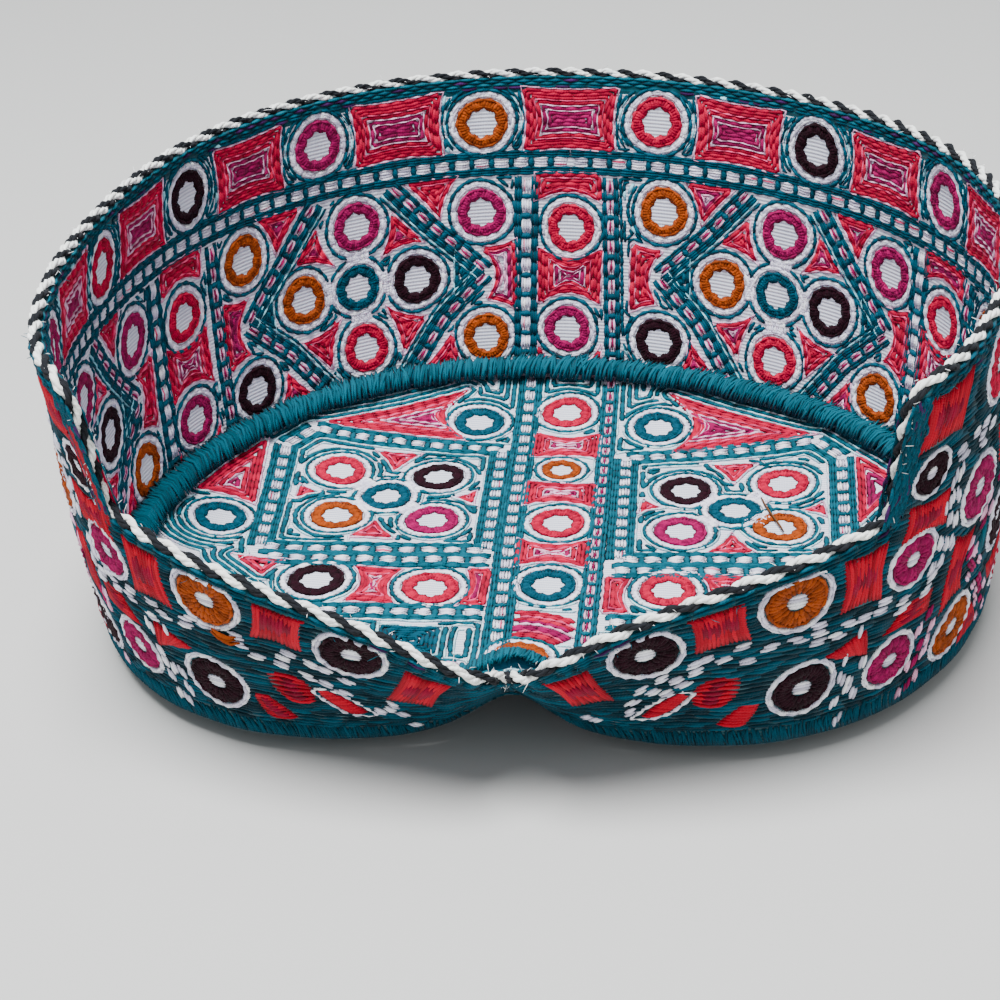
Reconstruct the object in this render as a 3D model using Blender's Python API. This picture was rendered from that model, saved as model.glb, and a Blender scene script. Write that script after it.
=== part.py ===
# Embroidered Sindhi cap, lying upside down on its crown with the head hollow upwards.
# Metres, +Z up, the arch opening of the band towards -Y, the origin under the middle
# of the cap on the surface that it lies on.
# A place on the band is a turn about the cap's axis, 0 at the front notch and positive
# towards +X, and a height above the crown seam measured along the cloth.

import math

import bmesh
import bpy
import numpy as np

MM = 0.001
GAP = 0.0003                     # clearance between pieces that touch

BAND_HEIGHT = 0.0682             # crown seam to rim, along the cloth
BAND_THICK = 0.0024              # two cloths quilted together, with the stitching
BAND_HEM = 0.0015                # turned edge of the band below the crown seam
CROWN_THICK = 0.0020
CROWN_RISE = 0.0045              # how far the crown's edge curves up from its flat middle
CROWN_FLAT = 0.55                # share of the crown that lies flat
SEAM_ROLL = 0.0040               # diameter of the overcast roll inside, at the crown seam
CORD_THICK = 0.0030              # diameter of the twisted cord on the rim
AXIS_X = -0.00135                # place of the cap's axis, so that the whole cap is centred
AXIS_Y = -0.01393

# Arch opening at the front, as turns and heights of its edge
ARCH_APEX = 0.0180               # height of the band at the notch
ARCH_SHOULDER = 0.0428           # height where the slanting edge meets the steep side
ARCH_SHOULDER_TURN = 53.0
ARCH_CORNER_TURN = 51.5          # where the steep side reaches the rim
ARCH_CURVE = 0.60                # under 1, the slanting edge bows up
NOTCH_HALF = 0.0042              # half the width of the notch's floor
ARCH_ROUND = 0.0045              # length over which the corners are rounded

# Front notch: the seam is pinched in and lifted, and the cloth above leans out as a spout
PINCH_SET_BACK = 0.0030
PINCH_LIFT = 0.0045
PINCH_TURN = 10.5
SPOUT_FLARE = 0.0260
SPOUT_TURN = 21.5
# Free corners beside the arch spring outwards
SPLAY = 0.0040
SPLAY_TURN = 13.0
SPLAY_FROM = 0.036               # height from which the corners are free

# The soft band, one row for every 30 degrees, in millimetres: reach of the seam from the
# axis, flare of the rim beyond the seam, and belly of the wall at half its height
STATIONS = (
    dict(turn=-150, reach=89.5, flare=4.5, belly=1.0),
    dict(turn=-120, reach=86.5, flare=-1.0, belly=1.5),
    dict(turn=-90, reach=83.0, flare=-2.5, belly=2.0),
    dict(turn=-60, reach=77.0, flare=8.0, belly=2.5),
    dict(turn=-30, reach=61.0, flare=19.5, belly=2.5),
    dict(turn=0, reach=47.5, flare=24.0, belly=3.0),
    dict(turn=30, reach=58.5, flare=18.0, belly=2.5),
    dict(turn=60, reach=74.0, flare=7.0, belly=2.5),
    dict(turn=90, reach=84.0, flare=-0.5, belly=2.0),
    dict(turn=120, reach=90.0, flare=-0.5, belly=1.5),
    dict(turn=150, reach=89.0, flare=4.5, belly=1.0),
    dict(turn=180, reach=89.0, flare=8.0, belly=0.5),
)

# Facets
BAND_COLUMNS = 150
BAND_ROWS = 7
CROWN_COLUMNS = 72
CROWN_RINGS = 7
ROLL_COLUMNS = 90
CORD_SIDES = 8

TEAL = (0.010, 0.095, 0.110, 1.0)
RED = (0.620, 0.030, 0.070, 1.0)
IVORY = (0.600, 0.590, 0.540, 1.0)


def around(turn, column):
    # Smooth closed curve through one column of the table: each row pulls the curve
    # through its own value and has no pull at the turns of the other rows
    places = np.radians([row["turn"] for row in STATIONS])
    values = np.array([row[column] for row in STATIONS]) * MM
    apart = (turn[..., None] - places + math.pi) % (2 * math.pi) - math.pi
    at_row = np.abs(apart) < 1e-9
    apart = np.where(at_row, 1.0, apart)
    count = len(STATIONS)
    pull = np.sin(count * apart / 2) / (count * np.tan(apart / 2))
    return np.where(at_row, 1.0, pull) @ values


def hump(turn, width_degrees):
    # 1 at the front, falling off on both sides as a bell
    return np.exp(-(turn / math.radians(width_degrees)) ** 2)


def round_seam(turn):
    # Seam line in plan before it is pinched: reach from the axis at each turn
    reach = around(turn, "reach")
    return np.stack([reach * np.sin(turn), -reach * np.cos(turn)], -1)


def outward(turn):
    # Level direction square to the seam line, away from the axis
    step = 1e-4
    along = round_seam(turn + step) - round_seam(turn - step)
    along /= np.linalg.norm(along, axis=-1, keepdims=True)
    return np.stack([along[..., 1], -along[..., 0], 0 * turn], -1)


def seam(turn):
    # Middle of the cloth where the band meets the crown
    level = round_seam(turn)
    pinch = hump(turn, PINCH_TURN)
    x = level[..., 0] + AXIS_X
    y = level[..., 1] + AXIS_Y + PINCH_SET_BACK * pinch
    z = CROWN_THICK / 2 + CROWN_RISE + PINCH_LIFT * pinch
    return np.stack([x, y, z], -1)


def wall(turn, height):
    # Middle of the band's cloth: the wall leans out in a straight line from the seam,
    # plus a belly that is widest at half height, plus the splay of the free corners. The
    # hem below the seam hangs straight down.
    share = np.maximum(height, 0) / BAND_HEIGHT
    flare = around(turn, "flare") + SPOUT_FLARE * hump(turn, SPOUT_TURN)
    belly = around(turn, "belly") * 4 * share * (1 - share)
    corner = np.abs(turn) - math.radians(ARCH_CORNER_TURN)
    free = np.clip((height - SPLAY_FROM) / (BAND_HEIGHT - SPLAY_FROM), 0, 1)
    splay = SPLAY * hump(corner, SPLAY_TURN) * free ** 2
    rise = height * np.sqrt(1 - (flare / BAND_HEIGHT) ** 2)
    level = (flare * share + belly + splay)[..., None] * outward(turn)
    return seam(turn) + level + rise[..., None] * np.array([0, 0, 1])


def wall_normal(turn, height):
    # Outward direction square to the cloth, from small steps along and up the wall
    step = 1e-4
    along = wall(turn + step, height) - wall(turn - step, height)
    up = wall(turn, height + step) - wall(turn, height - step)
    normal = np.cross(along, up)
    return normal / np.linalg.norm(normal, axis=-1, keepdims=True)


def spaced(points, count):
    # The same path with evenly spaced points
    run = np.concatenate([[0], np.cumsum(np.linalg.norm(np.diff(points, axis=0), axis=1))])
    at = np.linspace(0, run[-1], count)
    return np.stack([np.interp(at, run, points[:, k]) for k in range(points.shape[1])], -1)


def blurred(values, width):
    # Running average over a number of points, with the ends of the row repeated
    kernel = np.ones(width) / width
    padded = np.pad(values, width // 2, mode="edge")
    return np.convolve(padded, kernel, "valid")[:len(values)]


def edge_path(columns):
    # Turn and height of the band's free edge all the way round: up from the notch along
    # the bowed slant, up the steep side, along the rim to the back, and the same mirrored
    arc = 0.075                              # metres of cloth to a radian near the corners
    shoulder = math.radians(ARCH_SHOULDER_TURN)
    slant = np.linspace(0, 1, 60)
    slant_height = ARCH_APEX + (ARCH_SHOULDER - ARCH_APEX) * slant ** ARCH_CURVE
    slant_along = NOTCH_HALF + slant * (shoulder * arc - NOTCH_HALF)
    half = np.concatenate([[(0, ARCH_APEX)], np.stack([slant_along, slant_height], -1)])
    corner = (math.radians(ARCH_CORNER_TURN) * arc, BAND_HEIGHT)
    back = (math.pi * arc, BAND_HEIGHT)
    half = np.concatenate([half, [corner, back]])
    whole = np.concatenate([half[::-1] * (-1, 1), half[1:]])
    fine = spaced(whole, 2001)
    step = np.linalg.norm(fine[1] - fine[0])
    width = int(ARCH_ROUND / step)
    for axis in (0, 1, 0, 1):
        fine[1:-1, axis] = blurred(fine[:, axis], width)[1:-1]
    path = spaced(fine, columns + 1)[:-1]
    return path[:, 0] / arc, path[:, 1]


def closed_skin(name, grid, colour, roughness, poles=()):
    # Mesh of a grid of points (columns round the cap, rows along a profile). The columns
    # close on themselves. The profile closes too, or ends in two points on the axis.
    columns, rows = grid.shape[:2]
    points = [tuple(p) for p in grid.reshape(-1, 3)] + [tuple(p) for p in poles]
    spans = rows if not poles else rows - 1
    faces = []
    for c in range(columns):
        here, there = c * rows, (c + 1) % columns * rows
        for r in range(spans):
            up = (r + 1) % rows
            faces.append((here + r, there + r, there + up, here + up))
        if poles:
            faces.append((columns * rows, there, here))
            faces.append((columns * rows + 1, here + rows - 1, there + rows - 1))
    mesh = bpy.data.meshes.new(name)
    mesh.from_pydata(points, [], faces)
    shape = bmesh.new()
    shape.from_mesh(mesh)
    bmesh.ops.triangulate(shape, faces=shape.faces[:])
    bmesh.ops.recalc_face_normals(shape, faces=shape.faces[:])
    shape.to_mesh(mesh)
    shape.free()
    mesh.shade_smooth()
    mesh.set_sharp_from_angle(angle=math.radians(50))
    mesh.materials.append(material(name, colour, roughness))
    thing = bpy.data.objects.new(name, mesh)
    bpy.context.scene.collection.objects.link(thing)
    return thing


def material(name, colour, roughness):
    mat = bpy.data.materials.new(name)
    mat.use_nodes = True
    shader = mat.node_tree.nodes["Principled BSDF"]
    shader.inputs["Base Color"].default_value = colour
    shader.inputs["Roughness"].default_value = roughness
    shader.inputs["Metallic"].default_value = 0.0
    return mat


def tube_grid(centre, side_a, side_b, radius, sides):
    # Rings of points about a path, in the plane of two directions square to it
    turn = np.linspace(0, 2 * math.pi, sides, endpoint=False)
    ring = np.cos(turn)[None, :, None] * side_a[:, None] + np.sin(turn)[None, :, None] * side_b[:, None]
    return centre[:, None] + radius * ring


def side_band():
    # Cloth wall with the arch cut out. Each column runs from the hem to the free edge,
    # and the columns fan out beside the steep sides of the arch.
    edge_turn, edge_height = edge_path(BAND_COLUMNS)
    fan = 9
    wrapped = np.concatenate([edge_turn[-fan:] - 2 * math.pi, edge_turn, edge_turn[:fan] + 2 * math.pi])
    hem_turn = blurred(wrapped, fan)[fan:-fan]
    share = np.linspace(0, 1, BAND_ROWS + 1)[None]
    turn = hem_turn[:, None] + (edge_turn - hem_turn)[:, None] * share ** 1.5
    height = -BAND_HEM + (edge_height + BAND_HEM)[:, None] * share
    middle = wall(turn, height)
    half = wall_normal(turn, height) * BAND_THICK / 2
    profile = np.concatenate([middle + half, (middle - half)[:, ::-1]], axis=1)
    return closed_skin("side_band", profile, TEAL, 0.85)


def crown():
    # Bowl of cloth: flat in the middle, its edge curving up to the seam, the front end
    # lifted with the pinched seam
    turn = np.linspace(-math.pi, math.pi, CROWN_COLUMNS, endpoint=False)
    rim = seam(turn) - outward(turn) * (BAND_THICK / 2 + GAP)
    centre = np.array([AXIS_X, AXIS_Y + 0.020])
    share = np.concatenate([[CROWN_FLAT / 2], np.linspace(CROWN_FLAT, 1, CROWN_RINGS)])
    level = centre + (rim[:, None, :2] - centre) * share[None, :, None]
    curl = np.clip((share - CROWN_FLAT) / (1 - CROWN_FLAT), 0, 1) ** 2
    under = (rim[:, 2] - CROWN_THICK / 2)[:, None] * curl[None]
    bottom = np.concatenate([level, under[..., None]], -1)
    top = bottom + np.array([0, 0, CROWN_THICK])
    profile = np.concatenate([top, bottom[:, ::-1]], axis=1)
    poles = [(*centre, CROWN_THICK), (*centre, 0.0)]
    return closed_skin("crown", profile, RED, 0.9, poles)


def crown_seam():
    # Overcast roll in the inner corner between the band and the crown
    turn = np.linspace(-math.pi, math.pi, ROLL_COLUMNS, endpoint=False)
    radius = SEAM_ROLL / 2
    inward = -outward(turn)
    up = np.broadcast_to(np.array([0.0, 0.0, 1.0]), inward.shape)
    centre = seam(turn) + inward * (BAND_THICK / 2 + GAP + radius)
    centre = centre + up * (CROWN_THICK / 2 + GAP + radius)
    return closed_skin("crown_seam", tube_grid(centre, inward, up, radius, CORD_SIDES), TEAL, 0.8)


def rim_cord():
    # Cord that sits on the free edge all round, down the steep sides and into the notch
    turn, height = edge_path(BAND_COLUMNS)
    edge = wall(turn, height)
    along = np.roll(edge, -1, axis=0) - np.roll(edge, 1, axis=0)
    along /= np.linalg.norm(along, axis=-1, keepdims=True)
    normal = wall_normal(turn, height)
    away = np.cross(normal, along)
    away /= np.linalg.norm(away, axis=-1, keepdims=True)
    centre = edge + away * (CORD_THICK / 2 + GAP)
    grid = tube_grid(centre, away, normal, CORD_THICK / 2, CORD_SIDES)
    return closed_skin("rim_cord", grid, IVORY, 0.7)


def build():
    for thing in list(bpy.data.objects):
        bpy.data.objects.remove(thing, do_unlink=True)
    crown()
    crown_seam()
    side_band()
    rim_cord()


build()
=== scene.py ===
# Looks of the embroidered cap: cloth skins, raised thread stitches, twisted cord,
# overcast seam, loose fibres, floor, light and camera.
import math

import bpy
import numpy as np
from mathutils import Matrix, Vector


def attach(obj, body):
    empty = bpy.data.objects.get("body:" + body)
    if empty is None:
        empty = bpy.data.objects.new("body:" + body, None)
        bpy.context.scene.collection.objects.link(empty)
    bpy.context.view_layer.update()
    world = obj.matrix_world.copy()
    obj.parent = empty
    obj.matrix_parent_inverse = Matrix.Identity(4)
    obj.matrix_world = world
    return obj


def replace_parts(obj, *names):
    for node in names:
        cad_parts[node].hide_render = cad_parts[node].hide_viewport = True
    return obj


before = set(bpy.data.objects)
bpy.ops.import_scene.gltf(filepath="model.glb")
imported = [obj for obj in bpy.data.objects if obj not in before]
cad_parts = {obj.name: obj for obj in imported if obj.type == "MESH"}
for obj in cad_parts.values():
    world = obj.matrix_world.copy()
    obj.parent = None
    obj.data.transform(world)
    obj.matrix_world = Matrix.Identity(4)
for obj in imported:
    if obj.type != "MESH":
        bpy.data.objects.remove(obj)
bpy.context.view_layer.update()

mm = 0.001
tinyStep = 1e-4                        # for a direction, in radians or metres
rng = np.random.default_rng(11)

cap = dict(
    axisX=-0.00135, axisY=-0.01393,
    bandHeight=0.0682, bandHem=0.0015, bandThick=0.0024,
    crownThick=0.0020, crownRise=0.0045, crownFlat=0.55, crownBack=0.020,
    archApex=0.0180, archShoulder=0.0428, shoulderTurn=53.0, cornerTurn=51.5,
    archCurve=0.60, notchHalf=0.0042, archRound=0.0045,
    pinchBack=0.0030, pinchLift=0.0045, pinchTurn=10.5,
    spoutFlare=0.0260, spoutTurn=21.5,
    splay=0.0040, splayTurn=13.0, splayFrom=0.036,
    gap=0.0003,
)
turns = (-150, -120, -90, -60, -30, 0, 30, 60, 90, 120, 150, 180)
shapeRows = dict(
    reach=(89.5, 86.5, 83.0, 77.0, 61.0, 47.5, 58.5, 74.0, 84.0, 90.0, 89.0, 89.0),
    flare=(4.5, -1.0, -2.5, 8.0, 19.5, 24.0, 18.0, 7.0, -0.5, -0.5, 4.5, 8.0),
    belly=(1.0, 1.5, 2.0, 2.5, 2.5, 3.0, 2.5, 2.5, 2.0, 1.5, 1.0, 0.5),
)


def unit(v):
    # each vector divided by its own length
    return v / np.maximum(np.linalg.norm(v, axis=-1, keepdims=True), 1e-12)


def runOf(points):
    # length along a line up to each of its points
    return np.concatenate([[0], np.cumsum(np.linalg.norm(np.diff(points, axis=0), axis=1))])


def around(turn, row):
    # smooth closed curve through one row of the table: every value times its pull
    # sin(n a / 2) / (n tan(a / 2)), where a is the turn from that value
    places = np.radians(turns)
    values = np.array(shapeRows[row]) * mm
    apart = (np.asarray(turn)[..., None] - places + math.pi) % (2 * math.pi) - math.pi
    there = np.abs(apart) < 1e-9
    apart = np.where(there, 1.0, apart)
    count = len(turns)
    pull = np.sin(count * apart / 2) / (count * np.tan(apart / 2))
    return np.where(there, 1.0, pull) @ values


def hump(turn, width):
    # bell exp(-(turn / width)^2), width in degrees
    return np.exp(-(turn / math.radians(width)) ** 2)


def seamPlan(turn):
    # seam line in plan: reach from the axis times (sin, -cos) of the turn
    reach = around(turn, "reach")
    return np.stack([reach * np.sin(turn), -reach * np.cos(turn)], -1)


def outward(turn):
    # level direction square to the seam line
    ahead = unit(seamPlan(turn + tinyStep) - seamPlan(turn - tinyStep))
    return np.stack([ahead[..., 1], -ahead[..., 0], 0 * turn], -1)


def seam(turn):
    # middle of the cloth at the crown seam, pinched back and lifted at the notch
    level = seamPlan(turn)
    pinch = hump(turn, cap["pinchTurn"])
    x = level[..., 0] + cap["axisX"]
    y = level[..., 1] + cap["axisY"] + cap["pinchBack"] * pinch
    z = cap["crownThick"] / 2 + cap["crownRise"] + cap["pinchLift"] * pinch
    return np.stack([x, y, z], -1)


def wall(turn, height):
    # middle of the band's cloth: seam + flare * share + belly * 4 share (1 - share)
    # + splay of the free corners, outward, and the rest of the cloth's length upwards
    share = np.maximum(height, 0) / cap["bandHeight"]
    flare = around(turn, "flare") + cap["spoutFlare"] * hump(turn, cap["spoutTurn"])
    belly = around(turn, "belly") * 4 * share * (1 - share)
    corner = np.abs(turn) - math.radians(cap["cornerTurn"])
    free = np.clip((height - cap["splayFrom"]) / (cap["bandHeight"] - cap["splayFrom"]), 0, 1)
    splay = cap["splay"] * hump(corner, cap["splayTurn"]) * free ** 2
    rise = height * np.sqrt(1 - (flare / cap["bandHeight"]) ** 2)
    level = (flare * share + belly + splay)[..., None] * outward(turn)
    return seam(turn) + level + rise[..., None] * np.array([0, 0, 1])


def wallNormal(turn, height):
    # outward direction square to the cloth: (step along) x (step up)
    ahead = wall(turn + tinyStep, height) - wall(turn - tinyStep, height)
    up = wall(turn, height + tinyStep) - wall(turn, height - tinyStep)
    return unit(np.cross(ahead, up))


def spaced(points, count):
    # the same line with evenly spaced points
    run = runOf(points)
    at = np.linspace(0, run[-1], count)
    return np.stack([np.interp(at, run, points[:, k]) for k in range(points.shape[1])], -1)


def blurred(values, width):
    # running average over a number of points, the ends repeated
    padded = np.pad(values, width // 2, mode="edge")
    return np.convolve(padded, np.ones(width) / width, "valid")[:len(values)]


def edgePath(columns):
    # turn and height of the band's free edge: up from the notch along the bowed slant,
    # up the steep side, along the rim to the back, and the same mirrored
    arc = 0.075
    shoulder = math.radians(cap["shoulderTurn"])
    slant = np.linspace(0, 1, 60)
    slantHigh = cap["archApex"] + (cap["archShoulder"] - cap["archApex"]) * slant ** cap["archCurve"]
    slantAlong = cap["notchHalf"] + slant * (shoulder * arc - cap["notchHalf"])
    half = np.concatenate([[(0, cap["archApex"])], np.stack([slantAlong, slantHigh], -1)])
    corner = (math.radians(cap["cornerTurn"]) * arc, cap["bandHeight"])
    half = np.concatenate([half, [corner, (math.pi * arc, cap["bandHeight"])]])
    whole = np.concatenate([half[::-1] * (-1, 1), half[1:]])
    fine = spaced(whole, 2001)
    width = int(cap["archRound"] / np.linalg.norm(fine[1] - fine[0]))
    for axis in (0, 1, 0, 1):
        fine[1:-1, axis] = blurred(fine[:, axis], width)[1:-1]
    path = spaced(fine, columns + 1)[:-1]
    return path[:, 0] / arc, path[:, 1]


# Band chart: x along the cloth at half height, 0 at the back, + to the wearer's side that
# shows on the right, and y up from the crown seam. Crown chart: x and y from the axis.
fineTurn = np.radians(np.arange(-180, 180.01, 0.1))
fineRun = runOf(wall(fineTurn, np.full_like(fineTurn, 0.034))) / mm
fineRun -= np.interp(0, fineTurn, fineRun)
halfLeft, halfRight = -fineRun[0], fineRun[-1]
girth = halfLeft + halfRight


def turnAt(x):
    # turn for a distance from the back: right of it halfRight - x from the notch, left
    # of it -(halfLeft + x), wrapped round at the notch
    x = (np.asarray(x) + halfLeft) % girth - halfLeft
    fromNotch = np.where(x >= 0, halfRight - x, -(halfLeft + x))
    return np.interp(fromNotch, fineRun, fineTurn)


def chartX(turn):
    # the other way round: distance from the back for a turn
    fromNotch = np.interp(turn, fineTurn, fineRun)
    return np.where(fromNotch > 0, halfRight - fromNotch, -(halfLeft + fromNotch))


def relief(x, y):
    # small uneven swell of hand-worked cloth, a sum of slow waves, in millimetres
    swell = np.sin(0.31 * x + 1.3 * np.sin(0.11 * y)) * np.sin(0.27 * y + 0.05 * x)
    return 0.10 * swell + 0.06 * np.sin(0.83 * x + 0.5) * np.sin(0.74 * y + 0.9)


clothHalf = 0.95                       # cloth's face from the middle of the wall


def onBand(xy, side, lift):
    # chart place to the wall: middle + side * (half the cloth + swell + lift) * normal
    turn, high = turnAt(xy[..., 0]), xy[..., 1] * mm
    normal = wallNormal(turn, high) * side
    out = (clothHalf + relief(xy[..., 0], xy[..., 1]) + lift) * mm
    return wall(turn, high) + normal * np.asarray(out)[..., None], normal


crownMiddle = np.array([cap["axisX"], cap["axisY"] + cap["crownBack"]])
rimLine = seam(fineTurn[:-1]) - outward(fineTurn[:-1]) * (cap["bandThick"] / 2 + cap["gap"])
rimAngle = np.arctan2(rimLine[:, 1] - crownMiddle[1], rimLine[:, 0] - crownMiddle[0])
rimOrder = np.argsort(rimAngle)
rimReach = np.linalg.norm(rimLine[:, :2] - crownMiddle, axis=1)[rimOrder]
rimUnder = (rimLine[:, 2] - cap["crownThick"] / 2)[rimOrder]
rimAngle = rimAngle[rimOrder]
crownTop, crownUnder = 1.70, 0.45      # cloth faces above the crown's lower side


def onPlan(xy):
    # crown chart place to the cap's own x and y
    return xy[..., 0] * mm + cap["axisX"], xy[..., 1] * mm + cap["axisY"]


def crownShare(x, y):
    # share of the way from the crown's middle to its rim, and the rim's rise there
    angle = np.arctan2(y - crownMiddle[1], x - crownMiddle[0])
    reach = np.interp(angle, rimAngle, rimReach, period=2 * math.pi)
    under = np.interp(angle, rimAngle, rimUnder, period=2 * math.pi)
    return np.hypot(x - crownMiddle[0], y - crownMiddle[1]) / reach, under


def crownHeight(x, y):
    # flat middle, then rising with the square of the way to the rim
    share, under = crownShare(x, y)
    curl = np.clip((share - cap["crownFlat"]) / (1 - cap["crownFlat"]), 0, 1) ** 2
    return under * curl


def onCrown(xy, side, lift):
    # chart place to the crown: its height plus the face's own, normal from small steps
    x, y = onPlan(xy)
    slopeX = (crownHeight(x + tinyStep, y) - crownHeight(x - tinyStep, y)) / (2 * tinyStep)
    slopeY = (crownHeight(x, y + tinyStep) - crownHeight(x, y - tinyStep)) / (2 * tinyStep)
    normal = unit(np.stack([-slopeX, -slopeY, np.ones_like(x)], -1))
    face, swell = (crownTop, relief(xy[..., 0], xy[..., 1])) if side > 0 else (crownUnder, 0)
    base = np.stack([x, y, crownHeight(x, y) + (face + swell) * mm], -1)
    return base + normal * side * (np.zeros_like(x) + lift)[..., None] * mm, normal * side


print("shape ready, girth", round(girth, 1), "mm")


def fromScreen(r, g, b):
    # screen colour 0-255 to the shader's linear values, ((c + 0.055) / 1.055)^2.4
    return tuple(((c / 255 + 0.055) / 1.055) ** 2.4 if c > 10 else c / 3300 for c in (r, g, b)) + (1,)


# ends: painted shade, how dark both ends of a stitch are drawn where it dips into the cloth
threadLook = dict(roughness=0.85, sheen=0.03, sheenRoughness=0.5, specular=0.16, plyBump=0.3, ends=0.62)
# tealLight is a paler teal thread; on the crown and the loose fibres it is also painted light, teal drawn
# lighter where it is lit more or sits in shade
threadColours = dict(
    teal=(0, 72, 90), tealLight=(0, 88, 104), tealDeep=(0, 46, 58), red=(186, 0, 56), pink=(236, 74, 122),
    pale=(248, 184, 214), magenta=(150, 4, 80), dark=(34, 2, 16), orange=(156, 66, 10), white=(238, 234, 252),
    cyan=(150, 216, 228), ice=(190, 234, 246), purple=(62, 26, 80), wine=(136, 0, 42), ivory=(252, 252, 246),
    charcoal=(28, 30, 34), brown=(112, 74, 40), scarlet=(178, 0, 34),
)


def newMaterial(name):
    # a new material's helpers: node adds a node with its inputs and settings, ramp a colour
    # ramp from its stops, and finish feeds colour, bump and constants to the shader
    material = bpy.data.materials.new(name)
    material.use_nodes = True
    tree = material.node_tree

    def feed(new, inputs):
        for socket, value in inputs.items():
            if isinstance(value, bpy.types.NodeSocket):
                tree.links.new(value, new.inputs[socket])
            else:
                new.inputs[socket].default_value = value

    def node(kind, inputs, **settings):
        new = tree.nodes.new("ShaderNode" + kind)
        for key, value in settings.items():
            setattr(new, key, value)
        feed(new, inputs)
        return new.outputs

    def ramp(value, first, last, *between):
        node("ValToRGB", {0: value})
        elements = tree.nodes[-1].color_ramp.elements
        for element, (place, colour) in zip(elements, (first, last)):
            element.position, element.color = place, (*colour[:3], 1)
        for place, colour in between:
            elements.new(place).color = (*colour[:3], 1)
        return tree.nodes[-1].outputs[0]

    def finish(colour, height, strength, inputs):
        bump = node("Bump", {"Strength": strength, "Distance": 0.0002, "Height": height})
        feed(tree.nodes["Principled BSDF"], {"Base Color": colour, "Normal": bump[0], **inputs})
        return material

    return node, ramp, finish


def threadMaterial(colourName):
    # one thread colour: darker or lighter from stitch to stitch along U of its own map,
    # painted shade at both ends of a stitch along V, where it dips into the cloth, and a fine slanted ply as
    # bump
    node, ramp, finish = newMaterial("thread_" + colourName)
    look, base = threadLook, np.array(fromScreen(*threadColours[colourName]))
    bake = node("SeparateXYZ", {0: node("UVMap", {}, uv_map="OFBake")[0]})
    shade = ramp(bake[0], (0, base * 0.6), (1, np.minimum(base * 1.3, 1)), (0.5, base))
    # painted shade: the colour is darker at both ends of every stitch
    paintedEndShade, full = (look["ends"],) * 3, (1, 1, 1)
    ends = ramp(bake[1], (0, paintedEndShade), (1, paintedEndShade), (0.12, full), (0.88, full))
    colour = node("Mix", {0: 1.0, 6: shade, 7: ends}, data_type="RGBA", blend_type="MULTIPLY")
    ply = node("TexWave", {0: node("UVMap", {}, uv_map="thread")[0], "Scale": 1.1, "Distortion": 1.5},
               wave_type="BANDS", bands_direction="DIAGONAL")
    return finish(colour[2], ply["Fac"], look["plyBump"], {
        "Roughness": look["roughness"], "Specular IOR Level": look["specular"],
        "Sheen Weight": look["sheen"], "Sheen Roughness": look["sheenRoughness"]})


threadMaterials = {name: threadMaterial(name) for name in threadColours}

clothLook = dict(
    inside=(236, 238, 246), insideRib=(184, 188, 208),
    outside=(0, 72, 82), outsideRib=(0, 54, 62),
    rib=0.80, weave=0.36, bump=0.5,
)


def clothMaterial(name, light, dark, ribPitch):
    # ribbed cotton: ribs across Y of the cloth map, a finer weave both ways and slow
    # stains on Object coordinates, mixed from dark to light
    node, ramp, finish = newMaterial(name)
    clothMap = node("UVMap", {}, uv_map="cloth")[0]
    ribs, weave = (
        node("TexWave", {0: clothMap, "Scale": 1 / pitch * 2 * math.pi / 20, "Distortion": warp,
                         "Detail": 2, "Detail Scale": 0.6}, bands_direction=direction)["Fac"]
        for direction, pitch, warp in (("Y", ribPitch, 0.6), ("X", clothLook["weave"], 0.8)))
    both = node("Math", {0: weave, 1: 0.35, 2: ribs}, operation="MULTIPLY_ADD")[0]
    stain = node("TexNoise", {0: node("TexCoord", {})["Object"], "Scale": 90, "Detail": 4})["Fac"]
    level = node("Math", {0: both, 1: 0.6, 2: -0.05}, operation="MULTIPLY_ADD")[0]
    mixed = node("Math", {0: stain, 1: 0.55, 2: level}, operation="MULTIPLY_ADD")[0]
    colour = ramp(mixed, (0.22, fromScreen(*dark)), (0.72, fromScreen(*light)))
    return finish(colour, both, clothLook["bump"],
                  {"Roughness": 0.9, "Specular IOR Level": 0.15, "Sheen Weight": 0.2})


insideCloth = clothMaterial("cotton_ground", clothLook["inside"], clothLook["insideRib"], clothLook["rib"])
outsideCloth = clothMaterial("stitched_ground", clothLook["outside"], clothLook["outsideRib"], 0.9)


def makeMesh(name, points, faceSets, uvs, materials):
    # mesh from arrays of points, of faces with 3 or 4 corners, and of map places given
    # per point. Its signed volume is the sum of corner . (b x c); a negative one means
    # that the faces point in, and all of them are turned round.
    big = max(faceSets, key=len)
    a, *rest = (points[big[:, k]] for k in range(big.shape[1]))
    if sum((a * np.cross(b, c)).sum() for b, c in zip(rest, rest[1:])) < 0:
        faceSets = [faces[:, ::-1] for faces in faceSets]
    loops = np.concatenate([faces.ravel() for faces in faceSets]).astype(np.int32)
    sizes = np.concatenate([np.full(len(faces), faces.shape[1]) for faces in faceSets])
    starts = np.concatenate([[0], np.cumsum(sizes)[:-1]]).astype(np.int32)
    points = np.stack([points[:, 0], points[:, 1], np.maximum(points[:, 2], 0.00002)], -1)
    mesh = bpy.data.meshes.new(name)
    mesh.vertices.add(len(points))
    mesh.vertices.foreach_set("co", points.astype(np.float32).ravel())
    mesh.loops.add(len(loops))
    mesh.loops.foreach_set("vertex_index", loops)
    mesh.polygons.add(len(sizes))
    mesh.polygons.foreach_set("loop_start", starts)
    mesh.update(calc_edges=True)
    mesh.validate()
    for mapName, places in uvs.items():
        layer = mesh.uv_layers.new(name=mapName)
        layer.data.foreach_set("uv", places[loops].astype(np.float32).ravel())
    mesh.shade_smooth()
    for material in materials:
        mesh.materials.append(material)
    piece = bpy.data.objects.new(name, mesh)
    bpy.context.scene.collection.objects.link(piece)
    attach(piece, "root")
    return piece


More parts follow.
